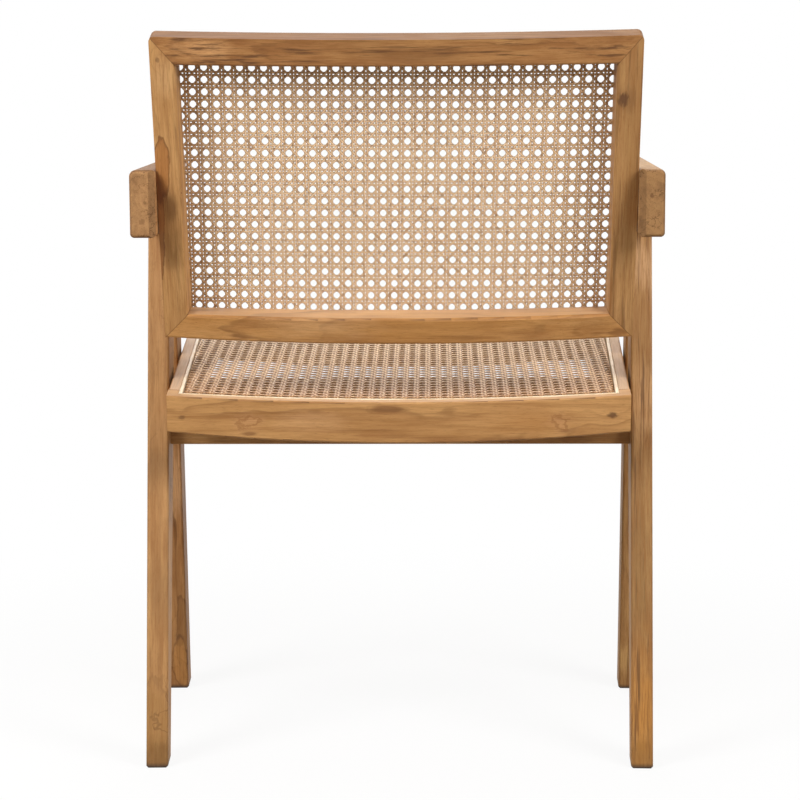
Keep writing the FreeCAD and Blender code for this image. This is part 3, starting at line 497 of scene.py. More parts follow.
def grain_place(tree, turn, centre):
    """The place of a point in metres from a member's middle, with X along the grain."""
    mapping = tree.nodes.new("ShaderNodeMapping")
    mapping.vector_type = "POINT"
    mapping.inputs["Rotation"].default_value = turn.to_euler("XYZ")
    mapping.inputs["Location"].default_value = -(turn @ Vector(centre))
    tree.links.new(object_place(tree), mapping.inputs["Vector"])
    return mapping.outputs[0]


def layer(tree, place, seed, kind):
    along, across, seed_step, detail, roughness = kind
    return noise(tree, stretched(tree, place, along, across), seed + seed_step, detail, roughness)


def from_spot(tree, place, turn, centre, spot, reach):
    """Distance from a spot given in millimetres, in units of the reach along and across the grain."""
    local = turn @ (Vector(spot) * MM - Vector(centre))
    away = vector_calc(tree, "SUBTRACT", place, tuple(local))
    along, across = reach
    return vector_calc(tree, "LENGTH", stretched(tree, away, 1 / along, 1 / across))


# Teak: knots, tongues, cracks and seams
# Distances are in radii of a knot or reaches of a tongue, and mostly come with the shares there

KNOT_STRETCH = 1.6
KNOT_RAGGED = 1.1
HEART_FADE = (0.9, 1.4)
PUSH_FADE = (0.3, 4.0, 1.0, 0.0)

TONGUE_WAVY = 1.3
TONGUE_END = 1.64
TONGUE_LINE_RISE = (1.4, 1.58)
TONGUE_LINE_FALL = (1.58, 1.66)
TONGUE_LINE_SHARE = 0.75

SOUND_KNOT_STRETCH = 1.3
SOUND_KNOT_RAGGED = 2.2
SOUND_KNOT_FADE = (1.3, 2.3, 1.0, 0.0)
SOUND_KNOT_TURNS = 9.0
SOUND_KNOT_RING = (-0.3, 1.0, 0.0, 0.6)
SOUND_KNOT_PALE = 0.35

# Cracks lie where a noise is near its middle value, and a coarser noise parts them into spots.
# The noises have a seed step, a detail and a roughness. Their cells follow from a fineness.
CRACK_NOISE = (3.6, 3.0, 0.55)
CRACK_SPOT_NOISE = (5.2, 1.0, 0.5)
CRACK_SPOT_CELLS = (0.4, 0.5)
NOISE_MIDDLE = 0.5
CRACK_WIDTH = (0.004, 0.022)
CRACK_SPOTS = (0.46, 0.56)
FACE_FINENESS = 34.0
END_FINENESS = 110.0
END_CRACK_SHARE = 0.8

# Distances from a seam in metres, and the shares there
SEAM_FADE = (0.1 * MM, 0.7 * MM, 0.6, 0.0)


def knot_fields(tree, place, turn, centre, knots, seed):
    """For each knot, a dark ragged heart and a wider field that pushes the growth rings around it."""
    ragged = layer(tree, place, seed, KNOT_EDGE)
    hearts, pushes = None, None
    for spot, radius, darkness in knots:
        away = from_spot(tree, place, turn, centre, spot, (KNOT_STRETCH * radius, radius))
        distance = calc(tree, "MULTIPLY_ADD", ragged, KNOT_RAGGED, away)
        hearts = combined(tree, "MAXIMUM", hearts, span(tree, distance, *HEART_FADE, darkness, 0.0))
        pushes = combined(tree, "ADD", pushes, span(tree, away, *PUSH_FADE))
    return hearts, pushes


def lay_tongues(tree, colour, place, turn, centre, tongues, seed):
    """Tongues of browner or paler wood drawn out along the grain, a few with painted shadow and one with
    painted light; the hard ones have a dark-lined edge.
    """
    wavy = layer(tree, place, seed, TONGUE_EDGE)
    for spot, reach, shade, share, softness in tongues:
        away = from_spot(tree, place, turn, centre, spot, reach)
        edge = calc(tree, "MULTIPLY_ADD", wavy, TONGUE_WAVY, away)
        line_share = max(0.0, TONGUE_LINE_SHARE - softness)
        line_fall = span(tree, edge, *TONGUE_LINE_FALL, line_share, 0.0)
        line = calc(tree, "MULTIPLY", span(tree, edge, *TONGUE_LINE_RISE), line_fall)
        colour = stain(tree, colour, shade, edge, TONGUE_END - softness, TONGUE_END, share, 0.0)
        colour = blend(tree, line, colour, STREAK)
    return colour


def lay_sound_knots(tree, colour, place, turn, centre, knots, seed):
    """Knots that the wood grew round: faint rings about a paler heart."""
    ragged = layer(tree, place, seed, SOUND_KNOT_EDGE)
    for spot, radius in knots:
        away = from_spot(tree, place, turn, centre, spot, (SOUND_KNOT_STRETCH * radius, radius))
        away = calc(tree, "MULTIPLY_ADD", ragged, SOUND_KNOT_RAGGED, away)
        near = span(tree, away, *SOUND_KNOT_FADE)
        wave = calc(tree, "SINE", calc(tree, "MULTIPLY", away, SOUND_KNOT_TURNS))
        ring = span(tree, wave, *SOUND_KNOT_RING)
        colour = blend(tree, calc(tree, "MULTIPLY", near, SOUND_KNOT_PALE), colour, KNOT_HEART)
        colour = blend(tree, calc(tree, "MULTIPLY", near, ring), colour, BROWN)
    return colour


def crack_lines(tree, place, seed, fineness, share):
    """Fine wavy cracks, here and there."""
    spot_along, spot_across = CRACK_SPOT_CELLS
    field = layer(tree, place, seed, (fineness, fineness, *CRACK_NOISE))
    spots = layer(tree, place, seed, (spot_along * fineness, spot_across * fineness, *CRACK_SPOT_NOISE))
    from_middle = calc(tree, "ABSOLUTE", calc(tree, "SUBTRACT", field, NOISE_MIDDLE))
    line = span(tree, from_middle, *CRACK_WIDTH, share, 0.0)
    return calc(tree, "MULTIPLY", line, span(tree, spots, *CRACK_SPOTS))


def joint_seam(tree, seams):
    """A thin dark line where a member meets its neighbour at a mitre."""
    line = None
    place = object_place(tree)
    for point, normal in seams:
        from_point = vector_calc(tree, "SUBTRACT", place, tuple(point))
        away = calc(tree, "ABSOLUTE", dot(tree, from_point, normal))
        line = combined(tree, "MAXIMUM", line, span(tree, away, *SEAM_FADE))
    return line


# Teak: growth rings
# A shape gives the spacing, how far the rings wander and how far their edges feather. The ranges are
# parts of one ring: late wood darkens slowly and ends quickly, with a thin line near its end.

FINE_RINGS = (7 * MM, 26 * MM, 5 * MM)
BROAD_RINGS = (15 * MM, 60 * MM, 1.5 * MM)
ARCH_RINGS = (8 * MM, 45 * MM, 1.0 * MM)
KNOT_PUSH = 10 * MM
LATE_RISE = (0.2, 0.9)
LATE_END = (0.88, 1.0, 1.0, 0.0)
LINE_RISE = (0.72, 0.92)
LINE_END = (0.92, 1.0, 1.0, 0.0)
RING_FADE = (0.38, 0.64, 0.15, 1.0)


def from_pith(tree, place, pith, drift):
    """Distance from a pith line beside the board, which the board cuts slantwise."""
    x, y, z = split_axes(tree, place)
    pith_y, pith_z = pith
    y_from = calc(tree, "ADD", y, pith_y)
    z_from = calc(tree, "MULTIPLY_ADD", x, drift, calc(tree, "ADD", z, pith_z))
    y_square = calc(tree, "MULTIPLY", y_from, y_from)
    z_square = calc(tree, "MULTIPLY", z_from, z_from)
    return calc(tree, "SQRT", calc(tree, "ADD", y_square, z_square))


def ring_lines(tree, place, seed, pith, drift, ring_shape, knot_push):
    """Growth rings that run out in long arches: their late wood, and the thin lines where they end."""
    spacing, wander_reach, feather_reach = ring_shape
    wander = layer(tree, place, seed, WANDER)
    feather = layer(tree, place, seed, FEATHER)
    reach = calc(tree, "MULTIPLY_ADD", wander, wander_reach, from_pith(tree, place, pith, drift))
    reach = calc(tree, "MULTIPLY_ADD", feather, feather_reach, reach)
    if knot_push is not None:
        reach = calc(tree, "MULTIPLY_ADD", knot_push, KNOT_PUSH, reach)
    phase = calc(tree, "FRACT", calc(tree, "DIVIDE", reach, spacing))
    late = calc(tree, "MULTIPLY", span(tree, phase, *LATE_RISE), span(tree, phase, *LATE_END))
    line = calc(tree, "MULTIPLY", span(tree, phase, *LINE_RISE), span(tree, phase, *LINE_END))
    mask = span(tree, layer(tree, place, seed, RING_STRENGTH), *RING_FADE)
    return calc(tree, "MULTIPLY", late, mask), calc(tree, "MULTIPLY", line, mask)


# Teak: ends of the members
# How far a face looks along the grain, from 0 to 1, tells where end grain shows and where its rounded rim
# gets painted shade

END_FACING = (0.35, 0.75, 0.0, 0.9)
EDGE_SHADE_RISE = (0.15, 0.5)
EDGE_SHADE_FALL = (0.6, 0.97, 0.5, 0.0)
END_MOTTLE = (0.38, 0.66, 0.0, 0.6)
END_SPECKS = (0.54, 0.72, 0.0, 0.4)
END_RING_SHARE = 0.3


def end_grain(tree, turn, place, seed, rings, colour):
    """Faces across the grain: dull and mottled, with ring arcs, pores, cracks and painted shade on the rim.
    """
    facing = calc(tree, "ABSOLUTE", dot(tree, face_normal(tree), turn[0]))
    # Painted shade along the rounded rim between side grain and end grain
    dark_and_edge_shade = calc(tree, "MULTIPLY", span(tree, facing, *EDGE_SHADE_RISE), span(tree, facing, *EDGE_SHADE_FALL))
    cracks = crack_lines(tree, place, seed, END_FINENESS, END_CRACK_SHARE)
    sawn = stain(tree, END_PALE, END_DARK, layer(tree, place, seed, MOTTLE), *END_MOTTLE)
    sawn = blend(tree, calc(tree, "MULTIPLY", rings, END_RING_SHARE), sawn, END_DARK)
    sawn = stain(tree, sawn, STREAK, layer(tree, place, seed, SPECKS), *END_SPECKS)
    sawn = blend(tree, cracks, sawn, STREAK)
    return blend(tree, dark_and_edge_shade, stain(tree, colour, sawn, facing, *END_FACING), STREAK)


# Teak: the whole material
# Ranges are a low and a high value of a layer, and mostly the shares there. A film has a tone, a share and
# the least upward look of the faces that it lies on; pale films add a painted sheen, dark ones painted
# shade.

PALE_GROUND = (0.3, 0.55, 0.5, 0.0)
PALE_BANDS = (0.3, 0.5, 0.45, 0.0)
BROWN_BANDS = (0.5, 0.68, 0.0, 0.5)
PATCH_RANGE = (0.45, 0.7)
STREAK_RANGE = (0.53, 0.66)
FIBRE_RANGE = (0.42, 0.7)
OPEN_PORES = (0.6, 0.72, 0.0, 0.35)
RING_LINE_SHARE = 0.55
# The usual top-face film: thin dust with a painted sheen
THIN_DUST_AND_SHEEN = (DUST_AND_SHEEN, 0.4, 0.85)
FOOT_GRIME = (1.5 * MM, 7 * MM, 0.85, 0.0)
ROUGH_RANGE = (0.3, 0.7)
ROUGH_SPREAD = 0.15
RING_RELIEF = -0.3
PORE_RELIEF = -0.7
GRAIN_BUMP = (0.2, 0.4 * MM)


def upward_film(tree, colour, film, share, least):
    """Faces that look up get a film: pale dust with a painted sheen, or hand wear with painted shade."""
    rising = dot(tree, face_normal(tree), (0, 0, 1))
    return stain(tree, colour, film, rising, least, 1.0, 0.0, share)


def foot_grime(tree, colour):
    height = split_axes(tree, object_place(tree))["Z"]
    return stain(tree, colour, GRIME, height, *FOOT_GRIME)


def teak(name, along, centre, seed, pith=(12 * MM, 35 * MM), drift=0.05, ring_shape=FINE_RINGS, figure=0.4,
         streaks=0.5, patches=0.4, fibres=0.5, cracks=0.0, tint=HONEY, shade=UNSHADED, film=THIN_DUST_AND_SHEEN,
         dullness=0.55, foot=False, knots=(), sound_knots=(), tongues=(), seams=()):
    """Oiled teak: growth rings, drawn-out dark streaks, paler and browner patches, pores and knots."""
    material, tree, surface = new_shader(name)
    turn = grain_axes(along)
    place = grain_place(tree, turn, centre)
    hearts, pushes = knot_fields(tree, place, turn, centre, knots, seed) if knots else (None, None)
    rings, lines = ring_lines(tree, place, seed, pith, drift, ring_shape, pushes)
    band = layer(tree, place, seed, BAND)
    fibre = layer(tree, place, seed, FIBRE)
    pores = layer(tree, place, seed, PORES)

    colour = stain(tree, tint, PALE, layer(tree, place, seed, BROAD), *PALE_GROUND)
    colour = stain(tree, colour, PALE, band, *PALE_BANDS)
    colour = stain(tree, colour, BROWN, band, *BROWN_BANDS)
    colour = stain(tree, colour, BROWN, layer(tree, place, seed, CLOUD), *PATCH_RANGE, 0.0, patches)
    colour = blend(tree, calc(tree, "MULTIPLY", rings, figure), colour, BROWN)
    colour = blend(tree, calc(tree, "MULTIPLY", lines, RING_LINE_SHARE * figure), colour, STREAK)
    if tongues:
        colour = lay_tongues(tree, colour, place, turn, centre, tongues, seed)
    if sound_knots:
        colour = lay_sound_knots(tree, colour, place, turn, centre, sound_knots, seed)
    if cracks:
        colour = blend(tree, crack_lines(tree, place, seed, FACE_FINENESS, cracks), colour, STREAK)
    colour = stain(tree, colour, STREAK, layer(tree, place, seed, VEIN), *STREAK_RANGE, 0.0, streaks)
    colour = stain(tree, colour, BROWN, fibre, *FIBRE_RANGE, 0.0, fibres)
    colour = stain(tree, colour, STREAK, pores, *OPEN_PORES)
    # End grain, with painted shade on its rim
    colour = end_grain(tree, turn, place, seed, rings, colour)
    colour = blend(tree, 1.0, colour, (*shade, 1), "MULTIPLY")
    # Painted sheen or painted shade on the faces that look up, laid with their dust or wear
    colour = upward_film(tree, colour, *film)
    if hearts is not None:
        colour = blend(tree, hearts, colour, STREAK)
    if seams:
        colour = blend(tree, joint_seam(tree, seams), colour, STREAK)
    if foot:
        colour = foot_grime(tree, colour)

    feed(tree, surface.inputs["Base Color"], colour)
    roughness = span(tree, fibre, *ROUGH_RANGE, dullness, dullness + ROUGH_SPREAD)
    feed(tree, surface.inputs["Roughness"], roughness)
    surface.inputs["Specular IOR Level"].default_value = SHEEN
    relief = calc(tree, "MULTIPLY_ADD", rings, RING_RELIEF, fibre)
    relief = calc(tree, "MULTIPLY_ADD", pores, PORE_RELIEF, relief)
    bump(tree, surface, relief, *GRAIN_BUMP)
    return material


# Cane

BACK_CANE_LIGHT = tone(250, 224, 190)
BACK_CANE_MID = tone(240, 206, 166)
BACK_CANE_DARK = tone(190, 142, 92)
# The darkest tone gives the dark blotches and the painted shade along the strands' edges
BACK_CANE_BLOTCH_AND_EDGE_SHADE = tone(112, 68, 34)
BACK_CANE_TONES = (BACK_CANE_LIGHT, BACK_CANE_MID, BACK_CANE_DARK, BACK_CANE_BLOTCH_AND_EDGE_SHADE)
SEAT_CANE_LIGHT = tone(240, 206, 162)
SEAT_CANE_MID = tone(216, 174, 124)
SEAT_CANE_DARK = tone(164, 118, 72)
# The darkest tone gives the dark blotches and the painted shade along the strands' edges
SEAT_CANE_BLOTCH_AND_EDGE_SHADE = tone(122, 80, 44)
SEAT_CANE_TONES = (SEAT_CANE_LIGHT, SEAT_CANE_MID, SEAT_CANE_DARK, SEAT_CANE_BLOTCH_AND_EDGE_SHADE)
BACK_CANE_SEED = 1.5
SEAT_CANE_SEED = 6.5

# Painted light and shade on the cane by place: a direction, the places along it where the painting starts
# and is full, its tone and share. The back's cane gets painted shade beside the stiles and under the top
# rail; the seat's cane gets painted light at the front and painted shade under the back.
BACK_CANE_FRAME_SHADE = [((1, 0, 0), 0.14, 0.225, BACK_CANE_DARK, 0.5),
               ((-1, 0, 0), 0.14, 0.225, BACK_CANE_DARK, 0.5),
               ((0, 0, 1), 0.69, 0.775, BACK_CANE_DARK, 0.6)]
SEAT_CANE_LIGHT_AND_SHADE = [((0, -1, 0), 0.0, 0.2, SEAT_CANE_LIGHT, 0.6),
               ((0, 1, 0), 0.0, 0.14, SEAT_CANE_DARK, 0.8)]

# Cells in a metre, and ranges with the shares at their ends
SPELL_CELLS = (14.0, 9.0)
CANE_GRAIN_CELLS = 1500.0
BLOTCH_CELLS = 380.0
DARK_SPELLS = (0.25, 0.5, 0.55, 0.0)
LIGHT_SPELLS = (0.5, 0.75, 0.0, 0.8)
CANE_FIBRES = (0.4, 0.75, 0.0, 0.4)
LIGHT_BLOTCHES = (0.3, 0.46, 0.7, 0.0)
DARK_BLOTCHES = (0.52, 0.68, 0.0, 0.55)
# Painted shade along the strands' edges
STRAND_EDGE_SHADE = (0.28, 0.43, 0.0, 0.9)
CANE_ROUGHNESS = (0.3, 0.7, 0.45, 0.62)
CANE_BUMP = (0.25, 0.2 * MM)


def strand_mark(tree, label):
    node = tree.nodes.new("ShaderNodeAttribute")
    node.attribute_name = label
    return node.outputs["Fac"]


def even_noise(tree, place, cells, seed, detail):
    return noise(tree, stretched(tree, place, cells, cells), seed, detail)


def cane_material(name, seed, tones, painted_light_and_shade):
    """Split rattan: a tone per strand, fibres, darker spells, painted edge shade, painted light and shade
    """
    material, tree, surface = new_shader(name)
    light, mid, dark, dark_and_edge_shade = tones
    place = object_place(tree)
    along_strand = tree.nodes.new("ShaderNodeCombineXYZ")
    tree.links.new(strand_mark(tree, "strand_along"), along_strand.inputs[0])
    tree.links.new(strand_mark(tree, "strand_number"), along_strand.inputs[1])
    spells = noise(tree, stretched(tree, along_strand.outputs[0], *SPELL_CELLS), seed, detail=2.0)
    grain = even_noise(tree, place, CANE_GRAIN_CELLS, seed + 2, detail=2.0)
    blotches = even_noise(tree, place, BLOTCH_CELLS, seed + 4, detail=2.0)
    colour = stain(tree, mid, dark, spells, *DARK_SPELLS)
    colour = stain(tree, colour, light, spells, *LIGHT_SPELLS)
    colour = stain(tree, colour, dark, grain, *CANE_FIBRES)
    # Painted light and shade by place
    for direction, start, full, painted_tone, share in painted_light_and_shade:
        colour = stain(tree, colour, painted_tone, dot(tree, place, direction), start, full, 0.0, share)
    colour = stain(tree, colour, light, blotches, *LIGHT_BLOTCHES)
    colour = stain(tree, colour, dark_and_edge_shade, blotches, *DARK_BLOTCHES)
    # Painted shade along the strands' edges
    colour = stain(tree, colour, dark_and_edge_shade, strand_mark(tree, "strand_across"), *STRAND_EDGE_SHADE)
    feed(tree, surface.inputs["Base Color"], colour)
    feed(tree, surface.inputs["Roughness"], span(tree, grain, *CANE_ROUGHNESS))
    surface.inputs["Specular IOR Level"].default_value = SHEEN
    bump(tree, surface, grain, *CANE_BUMP)
    return material


# Reed and steel

REED_DARK = tone(180, 144, 102)
BACK_REED_TONES = (tone(240, 222, 192), tone(222, 196, 158), REED_DARK)
SEAT_REED_TONES = (tone(232, 210, 176), tone(212, 182, 142), REED_DARK)
BACK_REED_SEED = 0.0
SEAT_REED_SEED = 20.0
REED_SEED_STEP = 3.0
REED_FIBRE_CELLS = 700.0
REED_SPELL_CELLS = 30.0
REED_SPELLS = (0.35, 0.65, 0.0, 1.0)
REED_FIBRES = (0.45, 0.7, 0.0, 0.35)
REED_ROUGHNESS = (0.3, 0.7, 0.4, 0.6)
REED_BUMP = (0.3, 0.3 * MM)

STEEL_DARK = tone(150, 150, 152)
STEEL_BRIGHT = tone(190, 190, 192)
STEEL_CELLS = 900.0
STEEL_SEED = 4.0
STEEL_ROUGHNESS = (0.3, 0.7, 0.25, 0.45)


def reed_material(name, seed, tones):
    material, tree, surface = new_shader(name)
    pale, mid, dark = tones
    place = object_place(tree)
    fibre = even_noise(tree, place, REED_FIBRE_CELLS, seed, detail=3.0)
    spells = even_noise(tree, place, REED_SPELL_CELLS, seed + 1, detail=2.0)
    colour = stain(tree, mid, pale, spells, *REED_SPELLS)
    colour = stain(tree, colour, dark, fibre, *REED_FIBRES)
    feed(tree, surface.inputs["Base Color"], colour)
    feed(tree, surface.inputs["Roughness"], span(tree, fibre, *REED_ROUGHNESS))
    bump(tree, surface, fibre, *REED_BUMP)
    return material


def steel_material(name):
    material, tree, surface = new_shader(name)
    scratches = even_noise(tree, object_place(tree), STEEL_CELLS, STEEL_SEED, detail=2.0)
    feed(tree, surface.inputs["Base Color"], blend(tree, scratches, STEEL_DARK, STEEL_BRIGHT))
    feed(tree, surface.inputs["Roughness"], span(tree, scratches, *STEEL_ROUGHNESS))
    surface.inputs["Metallic"].default_value = 1.0
    return material


# Marks on single members

UP_BACK = Vector((0, math.sin(BACK_LEAN), math.cos(BACK_LEAN)))


def mitre_seam(side, rail_width, z, upward):
    """The plane of one mitre of the back frame: through its inner corner, along the frame's diagonal."""
    mitre_width = STILE_WIDTH - STILE_SLANT
    inner_x = side * (BACK_HALF_WIDTH - mitre_width)
    inner = Vector(leaning(BACK_ORIGIN, BACK_LEAN, inner_x, 0.0, z - upward * rail_width))
    across = Vector((side * rail_width, 0, 0))
    normal = (across - upward * mitre_width * UP_BACK).normalized()
    return inner, normal


TOP_SEAMS = {side: mitre_seam(side, TOP_RAIL_WIDTH, BACK_LENGTH, 1) for side in (LEFT, RIGHT)}
BOTTOM_SEAMS = {side: mitre_seam(side, BOTTOM_RAIL_WIDTH, 0.0, -1) for side in (LEFT, RIGHT)}
SEAMS = {
    "back_left_stile": [TOP_SEAMS[LEFT], BOTTOM_SEAMS[LEFT]],
    "back_right_stile": [TOP_SEAMS[RIGHT], BOTTOM_SEAMS[RIGHT]],
    "back_top_rail": list(TOP_SEAMS.values()),
    "back_bottom_rail": list(BOTTOM_SEAMS.values()),
}

# Knots by member: a place in millimetres, a radius in metres and a darkness, where 0 only bends the rings
KNOTS = {
    "left_armrest": [((266.9, 225.5, 602), 0.005, 0.4), ((264, 225.5, 622), 0.003, 0.4)],
    "right_armrest": [((-265.8, 225.5, 627.8), 0.0035, 0.6)],
    "left_rear_leg": [((266.9, 161.5, 109.2), 0.007, 0.0)],
    "left_front_leg": [((275.9, -128.6, 65), 0.008, 0.3)],
    "back_left_stile": [((245.2, 249.6, 769.3), 0.003, 0.5), ((227.1, 205.8, 631.3), 0.0012, 0.8)],
    "back_right_stile": [((-234.6, 237.6, 727.1), 0.008, 0.85), ((-230, 237.4, 726), 0.004, 0.6)],
    "back_bottom_rail": [((-152.7, 168.6, 483.8), 0.007, 0.2)],
    "seat_rear_rail": [((236.2, 160.5, 385), 0.004, 0.55), ((-232.3, 160.8, 388), 0.005, 0.8)],
}
SOUND_KNOTS = {
    "seat_rear_rail": [((165.4, 160, 379.1), 0.014), ((-177.3, 160, 378.8), 0.013)],
}

# Tongues by member: a place in millimetres, a reach along and across the grain in metres, a tone,
# a share and a softness
TONGUES = {
    "back_top_rail": [((195, 259, 781), (0.045, 0.016), tone(240, 188, 134), 0.5, 0.9),
                      ((-25, 265, 772), (0.075, 0.011), tone(116, 74, 36), 0.5, 0.9)],
    "back_bottom_rail": [((84, 174, 487), (0.085, 0.022), tone(222, 178, 130), 0.45, 0.9),
                         ((-212, 164, 485), (0.05, 0.022), tone(128, 84, 42), 0.35, 0.9)],
    # The three darkest tongues, 633, 616 and 557 mm high beside and under the armrest, are browner wood
    # with the armrest's shadow painted in
    "back_left_stile": [((246, 215, 659), (0.034, 0.0095), tone(166, 108, 52), 0.8, 0.1),
                        ((254, 196, 600), (0.060, 0.0075), tone(138, 84, 40), 0.8, 0.15),
                        ((251, 206, 633), (0.018, 0.0095), tone(100, 54, 24), 0.85, 0.6),
                        ((238, 245, 751), (0.035, 0.02), tone(224, 182, 128), 0.45, 0.9),
                        ((239, 202, 616), (0.026, 0.010), tone(98, 62, 26), 0.65, 0.7),
                        ((241, 183, 557), (0.016, 0.012), tone(108, 76, 36), 0.4, 0.8)],
    "back_right_stile": [((-238, 237, 727), (0.022, 0.013), tone(100, 68, 34), 0.35, 0.8)],
    "seat_rear_rail": [((12.8, 161.4, 394.9), (0.026, 0.0055), tone(112, 70, 36), 0.7, 0.6),
                       ((90.8, 161.1, 391.9), (0.014, 0.004), tone(126, 82, 42), 0.6, 0.8),
                       ((162.9, 158.9, 367.5), (0.010, 0.003), tone(112, 70, 36), 0.65, 0.7),
                       ((-181, 159.1, 370), (0.010, 0.003), tone(112, 70, 36), 0.65, 0.7),
                       ((95, 160, 381), (0.06, 0.02), tone(222, 178, 130), 0.35, 0.9),
                       ((-143, 160, 382), (0.07, 0.025), tone(168, 112, 56), 0.35, 0.9)],
    "left_front_leg": [((272, -128, 75), (0.065, 0.0085), tone(122, 82, 40), 0.45, 0.25),
                       ((276, -136, 34), (0.040, 0.010), tone(196, 140, 78), 0.6, 0.3),
                       # This paler patch lightens a face that lies in shade: painted light
                       ((268, -87, 261), (0.07, 0.03), tone(228, 180, 132), 0.55, 0.9)],
    "right_front_leg": [((-272, -134, 39), (0.03, 0.03), tone(222, 178, 116), 0.55, 0.8)],
    "left_rear_leg": [((266, 178, 45), (0.05, 0.03), tone(158, 116, 62), 0.5, 0.5),
                      ((266, 186, 14), (0.024, 0.03), tone(112, 78, 32), 0.6, 0.7),
                      ((268, 141, 189), (0.06, 0.03), tone(128, 92, 54), 0.35, 0.9),
                      ((270, 108, 319), (0.03, 0.03), tone(116, 82, 46), 0.4, 0.8)],
    "right_rear_leg": [((-267, 132, 225), (0.15, 0.022), tone(134, 100, 56), 0.6, 0.9),
                       ((-267, 172, 60), (0.11, 0.03), tone(206, 142, 62), 0.6, 0.9),
                       ((-266, 186, 14), (0.024, 0.03), tone(140, 94, 34), 0.5, 0.7),
                       ((-273, 51, 542), (0.05, 0.03), tone(228, 184, 138), 0.5, 0.9),
                       ((-271, 87, 395), (0.06, 0.03), tone(226, 178, 126), 0.5, 0.9)],
}


# Dressing the frame

LEVEL = Vector((1, 0, 0))
SEAT_FORWARD = Vector((0, -math.cos(SEAT_SLOPE), math.sin(SEAT_SLOPE)))
HIDDEN_WOOD = ("armrest_dowels", "apex_dowels", "back_mount_dowels", "back_mitre_keys",
               "seat_corner_dowels")
HIDDEN_SEED = 40.0
HIDDEN_SEED_STEP = 3


def side_direction(side, forward, up):
    """A direction in a splayed side frame, from its forward and upward parts."""
    return Vector((side * math.sin(SPLAY) * forward, -math.cos(SPLAY) * forward, up))


def middle(node):
    low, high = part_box(node)
    return (low + high) / 2


def dress(node, material):
    """Give a node of the frame its finished material."""
    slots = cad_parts[node].data.materials
    slots.clear()
    slots.append(material)


def dress_wood(node, along, seed, **details):
    """Teak for one node, with the marks that are listed for it."""
    material = teak(node + "_teak", along, middle(node), seed, knots=KNOTS.get(node, ()),
                    sound_knots=SOUND_KNOTS.get(node, ()), tongues=TONGUES.get(node, ()),
                    seams=SEAMS.get(node, ()), **details)
    dress(node, material)


def dress_armrests():
    # Top faces: the left armrest's gets hand wear with painted shade, the right one's dust with a painted
    # sheen
    dress_wood("left_armrest", side_direction(LEFT, 1, 0), seed=16.1, figure=0.3, streaks=0.35, tint=WARM,
               film=(HAND_WEAR_AND_SHADE, 0.75, 0.5), dullness=0.75)
    dress_wood("right_armrest", side_direction(RIGHT, 1, 0), seed=6.1, figure=0.3, streaks=0.35, tint=OLIVE,
               shade=(0.82, 0.81, 0.76), film=(DUST_AND_SHEEN, 0.4, 0.5), dullness=0.75)


def dress_side_frames():
    dress_wood("left_rear_leg", side_direction(LEFT, REAR_LEG_RAKE, 1), seed=2.1, ring_shape=BROAD_RINGS,
               figure=0.3, streaks=0.15, fibres=0.4, cracks=0.4, tint=TAN, shade=(0.97, 0.97, 0.95),
               foot=True)
    dress_wood("right_rear_leg", side_direction(RIGHT, REAR_LEG_RAKE, 1), seed=3.4, pith=(30 * MM, 4 * MM),
               drift=0.02, figure=0.5, streaks=0.75, fibres=0.65, tint=OLIVE, shade=(0.95, 0.95, 0.93),
               foot=True)
    dress_wood("left_front_leg", side_direction(LEFT, FRONT_LEG_RAKE, 1), seed=5.6, ring_shape=ARCH_RINGS,
               figure=1.0, streaks=0.4, tint=WARM, foot=True)
    dress_wood("right_front_leg", side_direction(RIGHT, FRONT_LEG_RAKE, 1), seed=7.7, tint=OLIVE, foot=True)
    dress_wood("rear_stretcher", LEVEL, seed=28.3, tint=OLIVE)
    dress_wood("front_stretcher", LEVEL, seed=31.8, tint=OLIVE)


def dress_back_frame():
    dress_wood("back_left_stile", UP_BACK, seed=9.3, figure=0.3, streaks=0.35, tint=YELLOW)
    dress_wood("back_right_stile", UP_BACK, seed=13.6, tint=OLIVE, shade=(0.92, 0.9, 0.88))
    # Top faces: the top rail's gets hand wear with painted shade, the bottom rail's dust with a painted
    # sheen
    dress_wood("back_top_rail", LEVEL, seed=15.2, figure=0.5, streaks=0.85, patches=0.7, tint=WARM,
               shade=(0.82, 0.78, 0.7), film=(HAND_WEAR_AND_SHADE, 0.7, 0.8))
    dress_wood("back_bottom_rail", LEVEL, seed=18.4, ring_shape=BROAD_RINGS, figure=0.75, streaks=0.15,
               patches=0.2, fibres=0.3, shade=(0.98, 0.95, 0.9), film=(DUST_AND_SHEEN, 0.4, 0.8))


def dress_seat_frame():
    # The side rails' tops get dust with a painted sheen
    for name, side, seed in (("seat_left_rail", LEFT, 17.3), ("seat_right_rail", RIGHT, 7.3)):
        along = SEAT_FORWARD + Vector((side * math.sin(SPLAY), 0, 0))
        dress_wood(name, along, seed=seed, tint=WARM, film=(DUST_AND_SHEEN, 0.5, 0.85))
    # The rear rail's top gets rubbed wear with a painted sheen
    dress_wood("seat_rear_rail", LEVEL, seed=21.9, ring_shape=BROAD_RINGS, figure=0.35, streaks=0.2,
               patches=0.3, fibres=0.3, tint=YELLOW, shade=(0.95, 0.92, 0.88), film=(RUBBED_AND_SHEEN, 0.4, 0.85))
    dress_wood("seat_front_rail", LEVEL, seed=25.5)


def dress_hidden_wood():
    for number, node in enumerate(HIDDEN_WOOD):
        dress_wood(node, LEVEL, seed=HIDDEN_SEED + HIDDEN_SEED_STEP * number)


